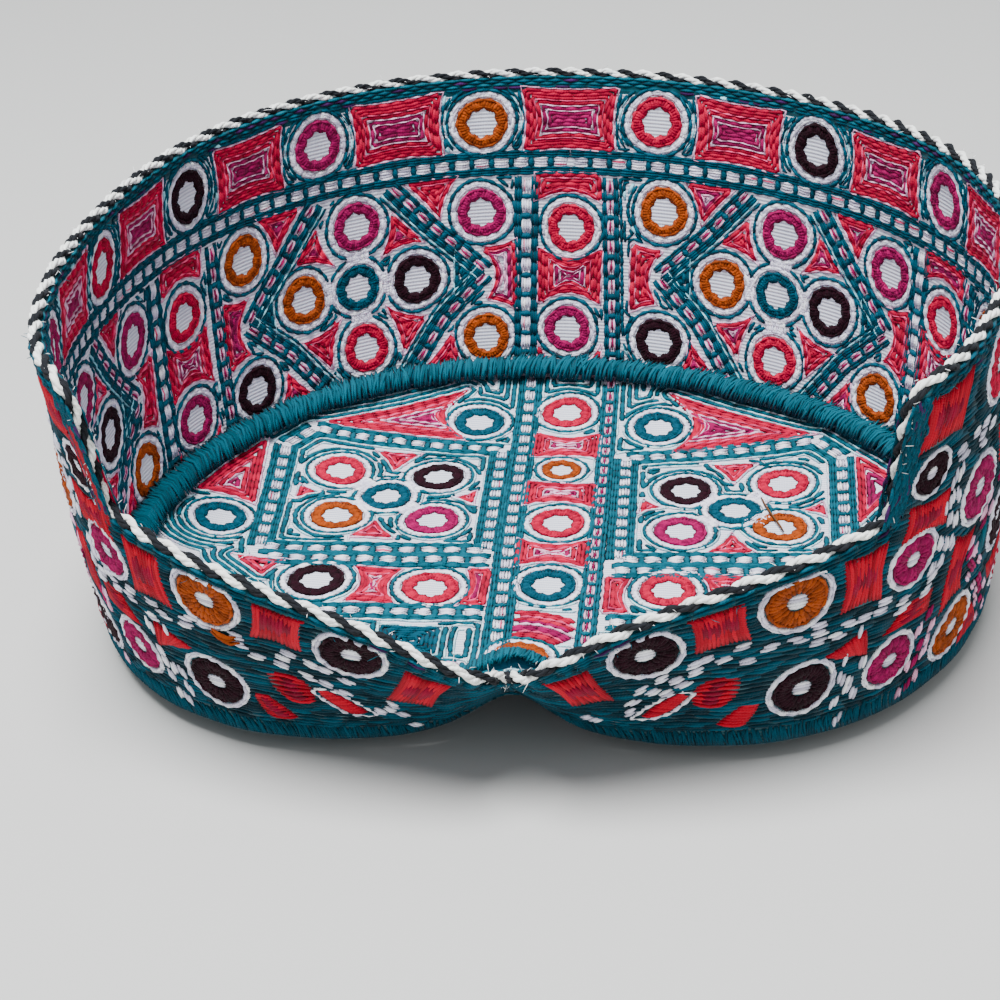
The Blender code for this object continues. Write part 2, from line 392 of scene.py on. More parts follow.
def threadSolid(points, normals, width, rise, shade):
    # three-sided ridges along n lines of k points: each ring has a left and a right foot,
    # half the width to the side, and a crest the rise above the line, narrower at the ends
    n, k = points.shape[:2]
    side = unit(np.cross(unit(np.gradient(points, axis=1)), normals))
    taper = np.ones(k)
    taper[[0, -1]] = 0.55
    halfWide = (width[:, None] * taper / 2)[..., None] * mm
    crest = (rise[:, None] * np.where(taper < 1, 0.25, 1.0))[..., None] * mm
    foot = normals * (0.06 * mm)
    rings = [points - side * halfWide - foot, points + normals * crest, points + side * halfWide - foot]
    start = (np.arange(n)[:, None, None] * k + np.arange(k - 1)[None, :, None]) * 3
    corner = np.arange(3)[None, None, :]
    after = (corner + 1) % 3
    quads = np.stack([start + corner, start + after, start + 3 + after, start + 3 + corner], -1)
    first = np.arange(n)[:, None] * k * 3
    last = first + (k - 1) * 3
    caps = np.concatenate([first + [2, 1, 0], last + [0, 1, 2]])
    pieces = np.linalg.norm(np.diff(points, axis=1), axis=-1)
    run = np.concatenate([np.zeros((n, 1)), np.cumsum(pieces, 1)], 1)
    share = run / np.maximum(run[:, -1:], 1e-9)
    bake = flatMap(shade[:, None, None] * 0.92 + 0.04 * np.arange(3), share[:, :, None], (n, k, 3))
    ply = flatMap(np.array([0, 0.5, 1.0]), run[:, :, None] / mm, (n, k, 3))
    return np.stack(rings, axis=2).reshape(-1, 3), quads.reshape(-1, 4), caps, bake, ply


def flatMap(u, v, shape):
    # two rows of map places, each spread over the shape, as one list
    return np.stack([np.broadcast_to(u, shape), np.broadcast_to(v, shape)], -1).reshape(-1, 2)


def threadPiece(name, solids, colour):
    # one piece out of several closed sets in one colour
    verts, quads, caps, bake, ply = zip(*solids)
    starts = np.cumsum([0] + [len(part) for part in verts])
    faces = [np.concatenate([part + start for part, start in zip(kind, starts)]) for kind in (quads, caps)]
    uvs = {"OFBake": np.concatenate(bake), "thread": np.concatenate(ply)}
    return makeMesh(name, np.concatenate(verts), faces, uvs, [threadMaterials[colour]])


def newChart(place, side, face, within, line="teal", lift=0.06):
    return dict(place=place, side=side, face=face, within=within, line=line, lift=lift, threads={}, holes=[])


def sew(chart, colour, lines, width, rise=0.42, lift=0.0):
    # keeps n lines of k chart places as stitches of one colour
    if len(lines):
        lines = np.asarray(lines, float)
        lines = lines + rng.normal(0, 0.05, lines.shape)
        chart["threads"].setdefault(colour, []).append((lines, width, rise, lift))


def along(line, length, gap=0.25, closed=False):
    # running stitches of three points on a line: n = its length / the stitch, each from
    # i / n to (i + 1) / n of the way, less the gap
    line = np.asarray(line, float)
    if closed:
        line = np.concatenate([line, line[:1]])
    run = runOf(line)
    n = max(1, int(round(run[-1] / length)))
    phase = rng.uniform(0, 1) if closed else 0.0
    edges = (np.arange(n) + phase) / n * run[-1]
    reach = run[-1] / n - gap
    at = edges[:, None] + gap / 2 + reach * np.linspace(0, 1, 3)[None]
    if closed:
        at = at % run[-1]
    return np.stack([np.interp(at, run, line[:, j]) for j in (0, 1)], -1)


def across(inner, outer, k=3):
    # satin stitches from each point of one line to the same point of another
    t = np.linspace(0, 1, k)[None, :, None]
    return inner[:, None] + (outer - inner)[:, None] * t


def arcOf(x, y, radius, count, start, end):
    # points at radius (cos, sin) about a middle
    angle = np.linspace(start, end, count)
    return np.stack([x + radius * np.cos(angle), y + radius * np.sin(angle)], -1)


ringLook = dict(
    size=5.8, hole=3.2, halo=7.35, outline=7.8, stitches=44, haloStitches=34, openHalf=21,
    outerSize=5.75, outerHole=1.9, outerHalo=6.4,
)


def ring(chart, x, y, colour, scale=1.0, openTo=()):
    # wheel of radial stitches with a toothed inner edge, a white wheel about it and an
    # outline, left open towards each bearing in openTo, where white stitches bridge the
    # gap. Outside it is filled nearly to its middle.
    look = ringLook
    size, hole, halo, outline = (look[k] for k in ("size", "hole", "halo", "outline"))
    middle = np.array([x, y]) + rng.normal(0, 0.25, 2)
    waves = rng.uniform(0, 6, 2)

    def loop(radius, count, teeth=0.0, turn=0.0, start=0.0, end=2 * math.pi):
        angle = np.linspace(start, end, count, endpoint=end - start < 6.2)
        tooth = np.abs((angle * 8 / (2 * math.pi) + turn) % 1 - 0.5) * 2
        uneven = 1 + 0.025 * np.sin(3 * angle + waves[0]) + 0.02 * np.sin(2 * angle + waves[1])
        reach = (radius + teeth * (tooth - 0.5)) * uneven
        return middle + scale * np.stack([reach * np.cos(angle), reach * np.sin(angle)], -1)

    def sewLoop(shade, radius, count, length, gap, wide, rise):
        sew(chart, shade, along(loop(radius, count), length, gap, True), wide, rise)

    if chart["face"] == "inside":
        count, turn = look["stitches"], rng.uniform(0, 1)
        sew(chart, colour, across(loop(hole, count, 0.6, turn), loop(size - 0.2, count)), 1.3 * scale, 0.42)
        sewLoop(colour, size - 0.35, 36, 2.5, -0.6, 1.0 * scale, 0.54)
        sewLoop(colour, hole + 0.75, 30, 2.2, -0.6, 0.9 * scale, 0.50)
        count = look["haloStitches"]
        sew(chart, "white", across(loop(size + 0.15, count), loop(halo, count)), 2.2 * scale, 0.24)
        sewLoop("white", size + 0.65, 40, 2.8, -0.7, 1.1 * scale, 0.32)
        sewLoop("white", halo - 0.45, 44, 3.0, -0.7, 1.1 * scale, 0.32)
        if not openTo:
            sewLoop(chart["line"], outline, 48, 2.6, -0.6, 1.1, 0.5)
        half = math.radians(look["openHalf"])
        for gap in openTo:
            later = min(other % 360 + 360 * (other % 360 <= gap % 360) for other in openTo)
            arc = loop(outline, 30, 0, 0, math.radians(gap % 360 + look["openHalf"]),
                       math.radians(later - look["openHalf"]))
            sew(chart, chart["line"], along(arc, 2.6, -0.6), 1.1, 0.5)
            out = np.array([math.cos(math.radians(gap)), math.sin(math.radians(gap))])
            aside = np.array([-out[1], out[0]])
            wide = outline * scale * math.sin(half) - 0.5
            inner = middle + out * (size + 0.6) * scale + aside * np.linspace(-wide, wide, 8)[:, None]
            sew(chart, "white", across(inner, inner + out * 1.9), 1.3, 0.24)
            strip = np.array([middle, middle + out * (halo + 1.2) * scale])
            chart["holes"].append(("strip", strip, wide + 0.2))
        chart["holes"].append(("round", *middle, outline * scale + 0.35))
    else:
        size, hole, halo = (look[k] for k in ("outerSize", "outerHole", "outerHalo"))
        sew(chart, colour, across(loop(hole + 0.9, 36, 0.8), loop(size - 0.1, 36)), 1.5 * scale, 0.36)
        sewLoop(colour, size - 0.3, 40, 2.4, -0.5, 1.0 * scale, 0.5)
        sew(chart, colour, across(loop(hole, 16), loop(hole + 1.9, 16)), 1.5 * scale, 0.42)
        sewLoop("white", halo, 40, 2.3, -0.5, 1.05, 0.45)
        sewLoop("white", halo + 0.55, 40, 2.6, -0.4, 0.8, 0.36)
        grain = middle + np.array([[-1.5, -1.1], [-1.9, -0.4], [-1.9, 0.4], [-1.5, 1.1]]) * scale
        reach = np.array([[3.0, 0.2], [3.8, 0.1], [3.8, 0.1], [3.0, 0]]) * scale
        sew(chart, "white", across(grain, grain + reach), 1.3, 0.12)
        chart["holes"].append(("round", *middle, 7.2 * scale))


def insetCorners(corners, depth):
    # every side moved in by the depth along its own normal, and neighbours crossed again
    corners = np.asarray(corners, float)
    ahead = unit(np.roll(corners, -1, axis=0) - corners)
    spin = np.sign(np.cross(ahead, np.roll(ahead, -1, axis=0)).sum())
    inwards = spin * np.stack([-ahead[:, 1], ahead[:, 0]], -1)
    base = corners + inwards * depth
    before, beforeAhead = np.roll(base, 1, axis=0), np.roll(ahead, 1, axis=0)
    cross = beforeAhead[:, 0] * ahead[:, 1] - beforeAhead[:, 1] * ahead[:, 0]
    gapTo = base - before
    reach = (gapTo[:, 0] * ahead[:, 1] - gapTo[:, 1] * ahead[:, 0]) / cross
    return before + beforeAhead * reach[:, None], inwards


def bowedLine(corners, bows, depth):
    # outline with every side bowed inwards: straight side + 4 t (1 - t) bow * normal
    inner, inwards = insetCorners(corners, depth)
    t = np.linspace(0, 1, 8, endpoint=False)[:, None]
    sides = []
    for i in range(len(inner)):
        a, b = inner[i], inner[(i + 1) % len(inner)]
        sides.append(a + (b - a) * t + 4 * t * (1 - t) * bows[i] * inwards[i])
    return np.concatenate(sides)


def inradius(corners):
    # largest depth for which the moved sides still go the same way round
    depth, start = 0.0, np.asarray(corners, float)
    first = np.roll(start, -1, axis=0) - start
    while depth < 12:
        inner, _ = insetCorners(corners, depth + 0.2)
        now = np.roll(inner, -1, axis=0) - inner
        if (np.einsum("ij,ij->i", first, now) <= 0.02).any():
            break
        depth += 0.2
    return depth


patchRows = dict(
    large=(("red", 0.8), ("red", 0.8), ("red", 0.7), ("pink", 0.4), ("red", 0.85), ("pale", 0.4),
           ("magenta", 0.85), ("pale", 0.35), ("magenta", 0.9), ("magenta", 0.9)),
    smallA=(("red", 0.95), ("pink", 0.38), ("magenta", 0.75), ("pale", 0.4), ("pale", 0.5)),
    smallB=(("red", 0.95), ("pink", 0.38), ("red", 0.9), ("red", 0.9)),
    smallC=(("red", 0.8), ("red", 0.75), ("pink", 0.38), ("magenta", 0.8), ("magenta", 0.8)),
    teal=(("teal", 0.85),) * 6,
)


def patch(chart, corners, bows, look=None, lean=0.0, at=(0, 0)):
    # inside: rows of running stitches, one inside the other from the outline in. Outside:
    # satin stitches from the first side across to the opposite one, darker in the middle
    c, s = math.cos(math.radians(lean)), math.sin(math.radians(lean))
    corners = np.asarray(corners, float) @ np.array([[c, s], [-s, c]]) + at
    corners = corners + rng.normal(0, 0.2, corners.shape)
    if chart["face"] == "outside":
        satin(chart, corners, bows, "tealLight" if look == "teal" else "scarlet")
        chart["holes"].append(("sided", bowedLine(corners, bows, 0.0), 0.05))
        return
    deepest, depth = inradius(corners), -0.35
    border = along(bowedLine(corners, bows, -0.6), 3.2, -0.3, True)
    sew(chart, "cyan" if look == "teal" else "pale", border, 0.6, 0.3)
    kind = look or ("large" if deepest > 4.2 else ("smallA", "smallB", "smallC")[int(rng.integers(0, 3))])
    for colour, width in patchRows[kind]:
        here = depth + width / 2
        if here > deepest - 0.05:
            break
        fade = 1 - 0.5 * here / max(deepest, 1)
        row = along(bowedLine(corners, [bow * fade for bow in bows], here), 3.0, -0.6, True)
        sew(chart, colour, row, width * (1.65 if width > 0.6 else 1.2), 0.40 if width > 0.6 else 0.50)
        depth += width
    chart["holes"].append(("sided", bowedLine(corners, bows, 0.0), 0.7 if chart["line"] == "teal" else 0.4))


def satin(chart, corners, bows, colour):
    # stitches from side 0 to the side opposite, or to the point of a triangle, and fewer
    # wine ones laid over the middle of a large patch
    line = bowedLine(corners, bows, 0.0).reshape(len(corners), -1, 2)
    sides = [np.concatenate([side, end[None]]) for side, end in zip(line, np.roll(corners, -1, axis=0))]
    near, pointed = sides[0], len(corners) == 3
    far = corners[2] + (near[[0, -1]] - corners[2]) * 0.06 if pointed else sides[2][::-1]
    wide = np.linalg.norm(near[-1] - near[0])
    count = max(4, int(wide / 0.7))
    near, far = spaced(near, count), spaced(far, count)
    lines = across(near, far, 5)
    if not pointed:
        # the sides pinch the stitches towards the middle line by their own bows
        share = np.linspace(0, 1, count)[:, None, None]
        right, left = spaced(sides[1], 5), spaced(sides[3], 5)[::-1]
        flat = across(np.stack([near[0], near[-1]]), np.stack([far[0], far[-1]]), 5)
        lines = lines + (left - flat[0])[None] * (1 - share) + (right - flat[1])[None] * share
    sew(chart, colour, lines, 1.35, 0.34)
    if colour == "scarlet" and min(wide, np.linalg.norm(far.mean(0) - near.mean(0))) > 5:
        inner = lines[int(count * 0.2):int(count * 0.8) + 1]
        begin, end = rng.uniform(0.18, 0.32, (len(inner), 1)), rng.uniform(0.66, 0.80, (len(inner), 1))
        t = (begin + (end - begin) * np.linspace(0, 1, 3)[None]) * 4
        k = np.clip(t.astype(int), 0, 3)
        rows = np.arange(len(inner))[:, None]
        laid = inner[rows, k] + (inner[rows, k + 1] - inner[rows, k]) * (t - k)[..., None]
        sew(chart, "wine", laid, 1.5, 0.32, 0.16)


def box(wide, high):
    # four corners about the middle, counter-clockwise
    return [(-wide / 2, -high / 2), (wide / 2, -high / 2), (wide / 2, high / 2), (-wide / 2, high / 2)]


def leftOf(ahead):
    # a quarter turn to the left
    return np.stack([-ahead[:, 1], ahead[:, 0]], -1)


def shifted(line, by):
    # line moved sideways to its left, along the normal of its own direction
    line = np.asarray(line, float)
    return line + by * leftOf(unit(np.gradient(line, axis=0)))


ladderLook = dict(rung=4.4, half=1.2, rail=1.0, pinkHalf=0.9, rungWide=1.7)


def ladder(chart, corners, kind="white", double=0):
    # teal rails of several rows, rungs between them and a block of laid threads in each
    # square. The pink kind is narrower, with one magenta dash laid on each pale block.
    # Outside only loose white blocks are laid. double is the side, +1 left or -1 right,
    # that has one more line beyond a pale one.
    line = np.asarray(corners, float)
    line = spaced(line, max(12, int(runOf(line)[-1] / 1.2)))
    look, outside, pink = ladderLook, chart["face"] == "outside", kind == "pink"
    half = look["pinkHalf"] if pink else look["half"]
    if not outside:
        for sign in (-1, 1):
            for off in (0.1, 0.7) if pink and sign != double else (0.1, 0.7, 1.25):
                rail = along(shifted(line, sign * (half + off)), 2.8, -0.6)
                sew(chart, chart["line"], rail, look["rail"], 0.44)
        if double:
            sew(chart, "cyan", along(shifted(line, double * (half + 1.85)), 3.2, -0.3), 0.6, 0.36)
            sew(chart, chart["line"], along(shifted(line, double * (half + 2.4)), 2.6, -0.5), 0.85, 0.46)
            chart["holes"].append(("strip", shifted(line, double * (half + 2.1))[::3], 0.8))
        chart["holes"].append(("strip", line[::3], half + (1.1 if pink else 1.6)))
    blocks = along(line, look["rung"], 1.55)
    joints = (blocks[:-1, -1] + blocks[1:, 0]) / 2
    ahead = unit(blocks[:, -1] - blocks[:, 0])
    side = leftOf(ahead)
    rows = 3 if outside or pink else 4
    reach = 2.9 if outside else half
    each = (len(blocks), 1, 1)
    for i in range(rows):
        ground = "white" if not pink else ("magenta" if i == 1 else "pale")
        keep = rng.uniform(0, 1, len(blocks)) > (0.38 if outside else 0.0)
        slip = ahead[:, None] * rng.normal(0, 0.9 if outside else 0.15, each)
        laid = blocks + side[:, None] * ((i + 0.5) / rows * 2 * reach - reach) + slip
        if outside:
            for aside in (-0.38, 0.38):
                slide = ahead[:, None] * rng.normal(0, 0.4, each) + side[:, None] * aside
                sew(chart, ground, (laid + slide)[keep], 1.1, 0.30, 0.22)
        else:
            wide = 2 * reach / rows * (1.35 if ground != "magenta" else 0.9)
            sew(chart, ground, laid[keep], wide, 0.36 + 0.12 * (ground == "magenta"))
    if not outside and len(joints):
        bar = side[:-1] * (half + 0.3)
        sew(chart, chart["line"], across(joints - bar, joints + bar), look["rungWide"], 0.40)
        if not pink:
            odd = rng.uniform(0, 1, len(blocks)) < 0.10
            sew(chart, "pink", blocks[odd] + side[odd][:, None] * 0.4, 0.5, 0.46)


def fromMotif(hole, here):
    # distance from chart places to one motif, negative on it: circle, outlined shape or
    # strip about a line. A place is in a shape when a line to the right from it crosses
    # the outline an odd number of times.
    if hole[0] == "round":
        return np.hypot(here[:, 0] - hole[1], here[:, 1] - hole[2]) - hole[3]
    a = hole[1] if hole[0] == "sided" else hole[1][:-1]
    b = np.roll(hole[1], -1, axis=0) if hole[0] == "sided" else hole[1][1:]
    span = b - a
    t = np.clip(((here[:, None] - a) * span).sum(-1) / np.maximum((span ** 2).sum(-1), 1e-9), 0, 1)
    apart = np.linalg.norm(here[:, None] - (a + t[..., None] * span), axis=-1).min(1)
    if hole[0] == "sided":
        x, y = here[:, :1], here[:, 1:]
        between = (a[:, 1] > y) != (b[:, 1] > y)
        crossAt = a[:, 0] + (y - a[:, 1]) * span[:, 0] / np.where(span[:, 1] == 0, 1e-9, span[:, 1])
        apart = np.where((between & (x < crossAt)).sum(1) % 2 == 1, -apart, apart)
    return apart - hole[2]


def holeBox(hole, reach):
    # corners of the box that holds every place within reach of a motif
    if hole[0] == "round":
        return np.array(hole[1:3]) - hole[3] - reach, np.array(hole[1:3]) + hole[3] + reach
    return hole[1].min(0) - hole[2] - reach, hole[1].max(0) + hole[2] + reach


def uncovered(chart, points):
    # which chart places lie on no motif
    free = np.ones(len(points), bool)
    for hole in chart["holes"]:
        low, high = holeBox(hole, 0.1)
        near = np.nonzero(((points > low) & (points < high)).all(1))[0]
        if len(near):
            free[near[fromMotif(hole, points[near]) < 0]] = False
    return free


def sewShares(chart, lines, colours, width, rise):
    # each stitch takes one of the colours by chance, by their shares
    pick, share = rng.uniform(0, 1, len(lines)), 0.0
    for colour, part in colours:
        sew(chart, colour, lines[(pick >= share) & (pick < share + part)], width, rise)
        share += part


def echoRows(chart, area, first, spacing, length, width, rise, colours, reach=7.0, step=0.5):
    # stitches that echo the motifs. F is the distance to the nearest motif on a grid; each
    # seed moves down or up the slope of F to the nearest of the levels first + k spacing,
    # one seed is kept in each cell, and the stitch's own points settle the same way.
    def gridOf(x, y):
        return np.stack(np.meshgrid(x, y, indexing="ij"), -1)

    x, y = np.arange(area[0], area[1], step), np.arange(area[2], area[3], step)
    far = np.full((len(x), len(y)), reach)
    for hole in chart["holes"]:
        low, high = holeBox(hole, reach)
        i = slice(*np.searchsorted(x, (low[0], high[0])))
        j = slice(*np.searchsorted(y, (low[1], high[1])))
        if i.stop > i.start and j.stop > j.start:
            here = gridOf(x[i], y[j])
            apart = fromMotif(hole, here.reshape(-1, 2)).reshape(here.shape[:2])
            far[i, j] = np.minimum(far[i, j], apart)
    inner, low, high = slice(1, -1), slice(None, -2), slice(2, None)
    beside = far[inner, inner] * 4 + far[low, inner] + far[high, inner] + far[inner, low] + far[inner, high]
    far[inner, inner] = beside / 8
    slopes = np.gradient(far, step)

    def read(grid, places):
        u = np.clip((places[..., 0] - x[0]) / step, 0, len(x) - 1.001)
        v = np.clip((places[..., 1] - y[0]) / step, 0, len(y) - 1.001)
        i, j = u.astype(int), v.astype(int)
        u, v = u - i, v - j
        near = grid[i, j] * (1 - u) + grid[i + 1, j] * u
        return near * (1 - v) + (grid[i, j + 1] * (1 - u) + grid[i + 1, j + 1] * u) * v

    def slopeAt(places):
        return np.stack([read(slopes[0], places), read(slopes[1], places)], -1)

    def settled(places, level, rounds):
        for _ in range(rounds):
            slope = slopeAt(places)
            steep = np.maximum((slope ** 2).sum(-1), 0.3)
            places = places + slope * ((level - read(far, places)) / steep)[..., None]
        return places

    seeds = gridOf(np.arange(area[0], area[1], 0.8), np.arange(area[2], area[3], 0.8)).reshape(-1, 2)
    seeds = seeds + rng.uniform(-0.3, 0.3, seeds.shape)
    depth = read(far, seeds)
    seeds = seeds[(depth > 0) & (depth < reach - 0.3) & chart["within"](seeds)]
    rung = np.maximum(np.round((read(far, seeds) - first) / spacing), 0)
    level = first + rung * spacing
    seeds = settled(seeds, level, 4)
    slope = slopeAt(seeds)
    good = (np.abs(read(far, seeds) - level) < 0.14) & ((slope ** 2).sum(-1) > 0.3)
    seeds, level, rung, slope = seeds[good], level[good], rung[good], slope[good]
    cell = np.column_stack([np.floor(seeds / (length * 0.6)), rung])
    _, keep = np.unique(cell, axis=0, return_index=True)
    seeds, level, slope = seeds[keep], level[keep], slope[keep]
    ahead = leftOf(slope) / np.linalg.norm(slope, axis=1, keepdims=True)
    lines = seeds[:, None] + ahead[:, None] * np.linspace(-0.5, 0.5, 3)[None, :, None] * length
    lines = settled(lines, level[:, None], 3)
    long = np.linalg.norm(lines[:, -1] - lines[:, 0], axis=1) / length
    good = (np.abs(read(far, lines) - level[:, None]).max(1) < 0.35) & (long > 0.45) & (long < 1.3)
    lines = lines[good & chart["within"](lines).all(1)]
    sewShares(chart, lines, colours, width, rise)


def groundRows(chart, area, pitch, length, colours, rise=0.46):
    # rows of running stitches over the bare ground: each row is read every 0.4 mm, and
    # its free stretches are cut into stitches of about the length
    x0, x1, y0, y1 = area
    rows, step, t = np.arange(y0, y1, pitch), 0.4, np.linspace(0, 1, 3)
    x = np.arange(x0, x1, step)
    kept = []
    for i, y in enumerate(rows):
        line = np.stack([x, y + 0.30 * np.sin(0.13 * x + y) + 0.18 * np.sin(0.41 * x)], -1)
        free = uncovered(chart, line) & chart["within"](line)
        change = np.nonzero(np.diff(np.concatenate([[0], free.astype(int), [0]])))[0].reshape(-1, 2)
        for first, last in change[change[:, 1] - change[:, 0] >= 3]:
            reach = (last - 1 - first) * step
            n = max(1, int(round(reach / length + rng.uniform(-0.3, 0.3))))
            cuts = (np.arange(1, n) + rng.uniform(-0.25, 0.25, n - 1)) / n
            ends = np.concatenate([[0], cuts, [1]]) * reach + first * step
            at = x0 + (ends[:-1] - 0.25)[:, None] + t[None] * (np.diff(ends) + 0.5)[:, None]
            kept.append(np.stack([at, np.interp(at, x, line[:, 1])], -1))
    sewShares(chart, np.concatenate(kept), colours, pitch * 1.6, rise)


def chartPieces(chart, prefix):
    # maps every kept stitch to the cloth and makes one piece for each colour
    for colour, sets in chart["threads"].items():
        solids = []
        for lines, width, rise, lift in sets:
            points, normals = chart["place"](lines, chart["side"], lift + chart["lift"])
            n = len(lines)
            solids.append(threadSolid(points, normals, width * rng.normal(1, 0.06, n),
                                      rise * rng.normal(1, 0.12, n), rng.uniform(0, 1, n)))
        piece = threadPiece(prefix + "_" + colour, solids, colour)
        print("  ", piece.name, len(piece.data.polygons), "faces")


edgeTurn, edgeHigh = edgePath(900)
edgeLine = np.stack([chartX(edgeTurn), edgeHigh / mm], -1)
edgeLine = edgeLine[np.argsort(edgeLine[:, 0])]


def edgeAt(x):
    # height of the free edge at a place of the band chart
    return np.interp(x, edgeLine[:, 0], edgeLine[:, 1])


rimRow = dict(high=59.3, pitch=38.3, wide=20.0, tall=13.6)
rimRings = dict(right=("red", "dark", "magenta", "orange", "red"),
                left=("orange", "magenta", "dark", "red", "magenta"))
# the row turns down beside the arch and runs to the notch: distance from the notch, height
archRow = (
    dict(kind="patch", front=70.8, high=61.0, wide=11.5, tall=11.0, lean=0),
    dict(kind="ring", front=70.3, high=50.6, size=0.66, colour="dark"),
    dict(kind="patch", front=71.4, high=41.2, wide=10.5, tall=8.0, lean=0),
    dict(kind="ring", front=70.3, high=33.6, size=0.80, colour="magenta"),
    dict(kind="patch", front=59.4, high=34.0, wide=8.0, tall=12.4, lean=-4),
    dict(kind="ring", front=47.1, high=33.2, size=0.93, colour="orange"),
    dict(kind="patch", front=34.8, high=31.4, wide=8.8, tall=11.2, lean=-10),
    dict(kind="ring", front=22.2, high=27.4, size=0.93, colour="dark"),
    dict(kind="patch", front=10.6, high=19.4, wide=8.4, tall=13.0, lean=-16),
)
ladderPath = (
    (82, 49.8), (77, 48.5), (77.6, 42), (78.6, 33), (77.5, 27.5), (72, 25.6), (60, 25.2), (47, 24.8),
    (36, 23.2), (28, 19.6), (21, 14.6), (14, 8.6), (9, 3.6),
)
# motifs above the hem beside the notch, places as in the row: rings and patches, whose
# bow is that of every side, and the white edge that two of them have outside
hemRings = ((70.8, 12.0, "magenta", 0.86), (51.6, 12.0, "dark", 0.95))
hemPatches = (
    dict(corners=((54.4, 18.8), (61.8, 22.6), (63.4, 15.8), (58.4, 17.4)), bow=0.2, edged=False),
    dict(corners=((66.8, 18.8), (69.6, 24.0), (77.6, 24.2), (77.8, 19.8)), bow=0.3, edged=False),
    dict(corners=((20.8, 8.6), (27.6, 14.6), (29.8, 14.2), (25.0, 9.0)), bow=-0.5, edged=True),
    dict(corners=((31.0, 11.6), (32.0, 16.6), (39.2, 17.2), (37.2, 11.4)), bow=-0.9, edged=False),
    dict(corners=((35.8, 5.6), (40.2, 10.4), (43.8, 10.0), (42.0, 4.6)), bow=-0.3, edged=False),
)
# upright ladders: place at the seam and at the top
dividers = (("white", -11.0, -9.8), ("pink", 10.6, 8.8), ("white", 87.8, 88.3), ("pink", 106.6, 106.2),
            ("pink", -89.1, -89.4), ("white", -109.4, -110.9))
# one wide panel, as places about its middle
wideRings = (
    dict(x=-29.4, y=39.5, colour="orange"), dict(x=-29.6, y=9.5, colour="dark"),
    dict(x=30.0, y=38.7, colour="magenta"), dict(x=29.8, y=9.4, colour="orange"),
    dict(x=0.4, y=38.8, colour="magenta"), dict(x=-14.3, y=25.3, colour="orange"),
    dict(x=-0.4, y=25.0, colour="teal"), dict(x=14.2, y=25.0, colour="dark"),
    dict(x=0.2, y=10.3, colour="red"),
)


def widePanel(chart, middle, stretch=1.0):
    # five rings in a cross inside a cut-off diamond, their white wheels joined in the
    # middle, a ring in each corner of the panel, a notched patch at each side tip and
    # small triangles between
    facing = dict(magenta=(-92,), orange=(0,), dark=(180,), red=(92,), teal=(0, 88, 180, 272))
    for i, row in enumerate(wideRings):
        openTo = facing[row["colour"]] if i > 3 else ()
        size = 0.92 if row["colour"] == "teal" else 0.97
        ring(chart, middle + row["x"] * stretch, row["y"], row["colour"], size, openTo)

    def placed(sign, corners):
        return [(middle + sign * stretch * x, y) for x, y in corners]

    for sign in (-1, 1):
        ladder(chart, placed(sign, ((30.4, 25.0), (18.6, 36.2), (9.0, 47.2))), "pink", sign)
        ladder(chart, placed(sign, ((30.4, 24.6), (19.6, 14.6), (9.8, 1.4))), "pink", -sign)
        tip = placed(sign, ((36.8, 32.0), (29.4, 30.6), (30.2, 18.4), (36.8, 16.0)))
        patch(chart, tip, (0.7, 3.0, 0.7, -0.2))
        patch(chart, placed(sign, ((26.6, 25.2), (23.2, 29.2), (23.2, 21.2))), (0, 0, 0), "teal")
        patch(chart, placed(sign, ((13.4, 47.0), (24.2, 47.2), (20.4, 38.4))), (0.3, 0.9, 0.5))
        patch(chart, placed(sign, ((13.6, 2.2), (24.0, 1.8), (21.4, 10.6))), (0.2, 0.9, 0.5))
        patch(chart, placed(sign, ((9.2, 40.4), (15.4, 34.0), (6.2, 31.8))), (0.2, 1.0, 1.0))
        patch(chart, placed(sign, ((6.0, 19.0), (15.4, 15.6), (9.2, 8.8))), (1.0, 0.2, 1.0))


def narrowPanel(chart, middle):
    # a ring over a ring with patches between, above and below them
    ring(chart, middle, 34.8, "red", 0.95)
    ring(chart, middle - 0.3, 11.0, "magenta", 0.95)
    patch(chart, box(14.4, 13.2), (2.9, 0.2, 2.9, 0.2), at=(middle, 23.6))
    top = [(-7.2, -4.0), (7.2, -4.0), (7.2, 2.2), (-7.2, 2.2)]
    patch(chart, top, (2.4, 0.1, 0.0, 0.1), at=(middle, 45.0))
    for sign in (-1, 1):
        corner = [(sign * 7.4, -0.9), (sign * 2.6, -0.9), (sign * 7.2, 4.6)]
        patch(chart, corner, (0.1, 1.0, 0.1), at=(middle, 2.4))


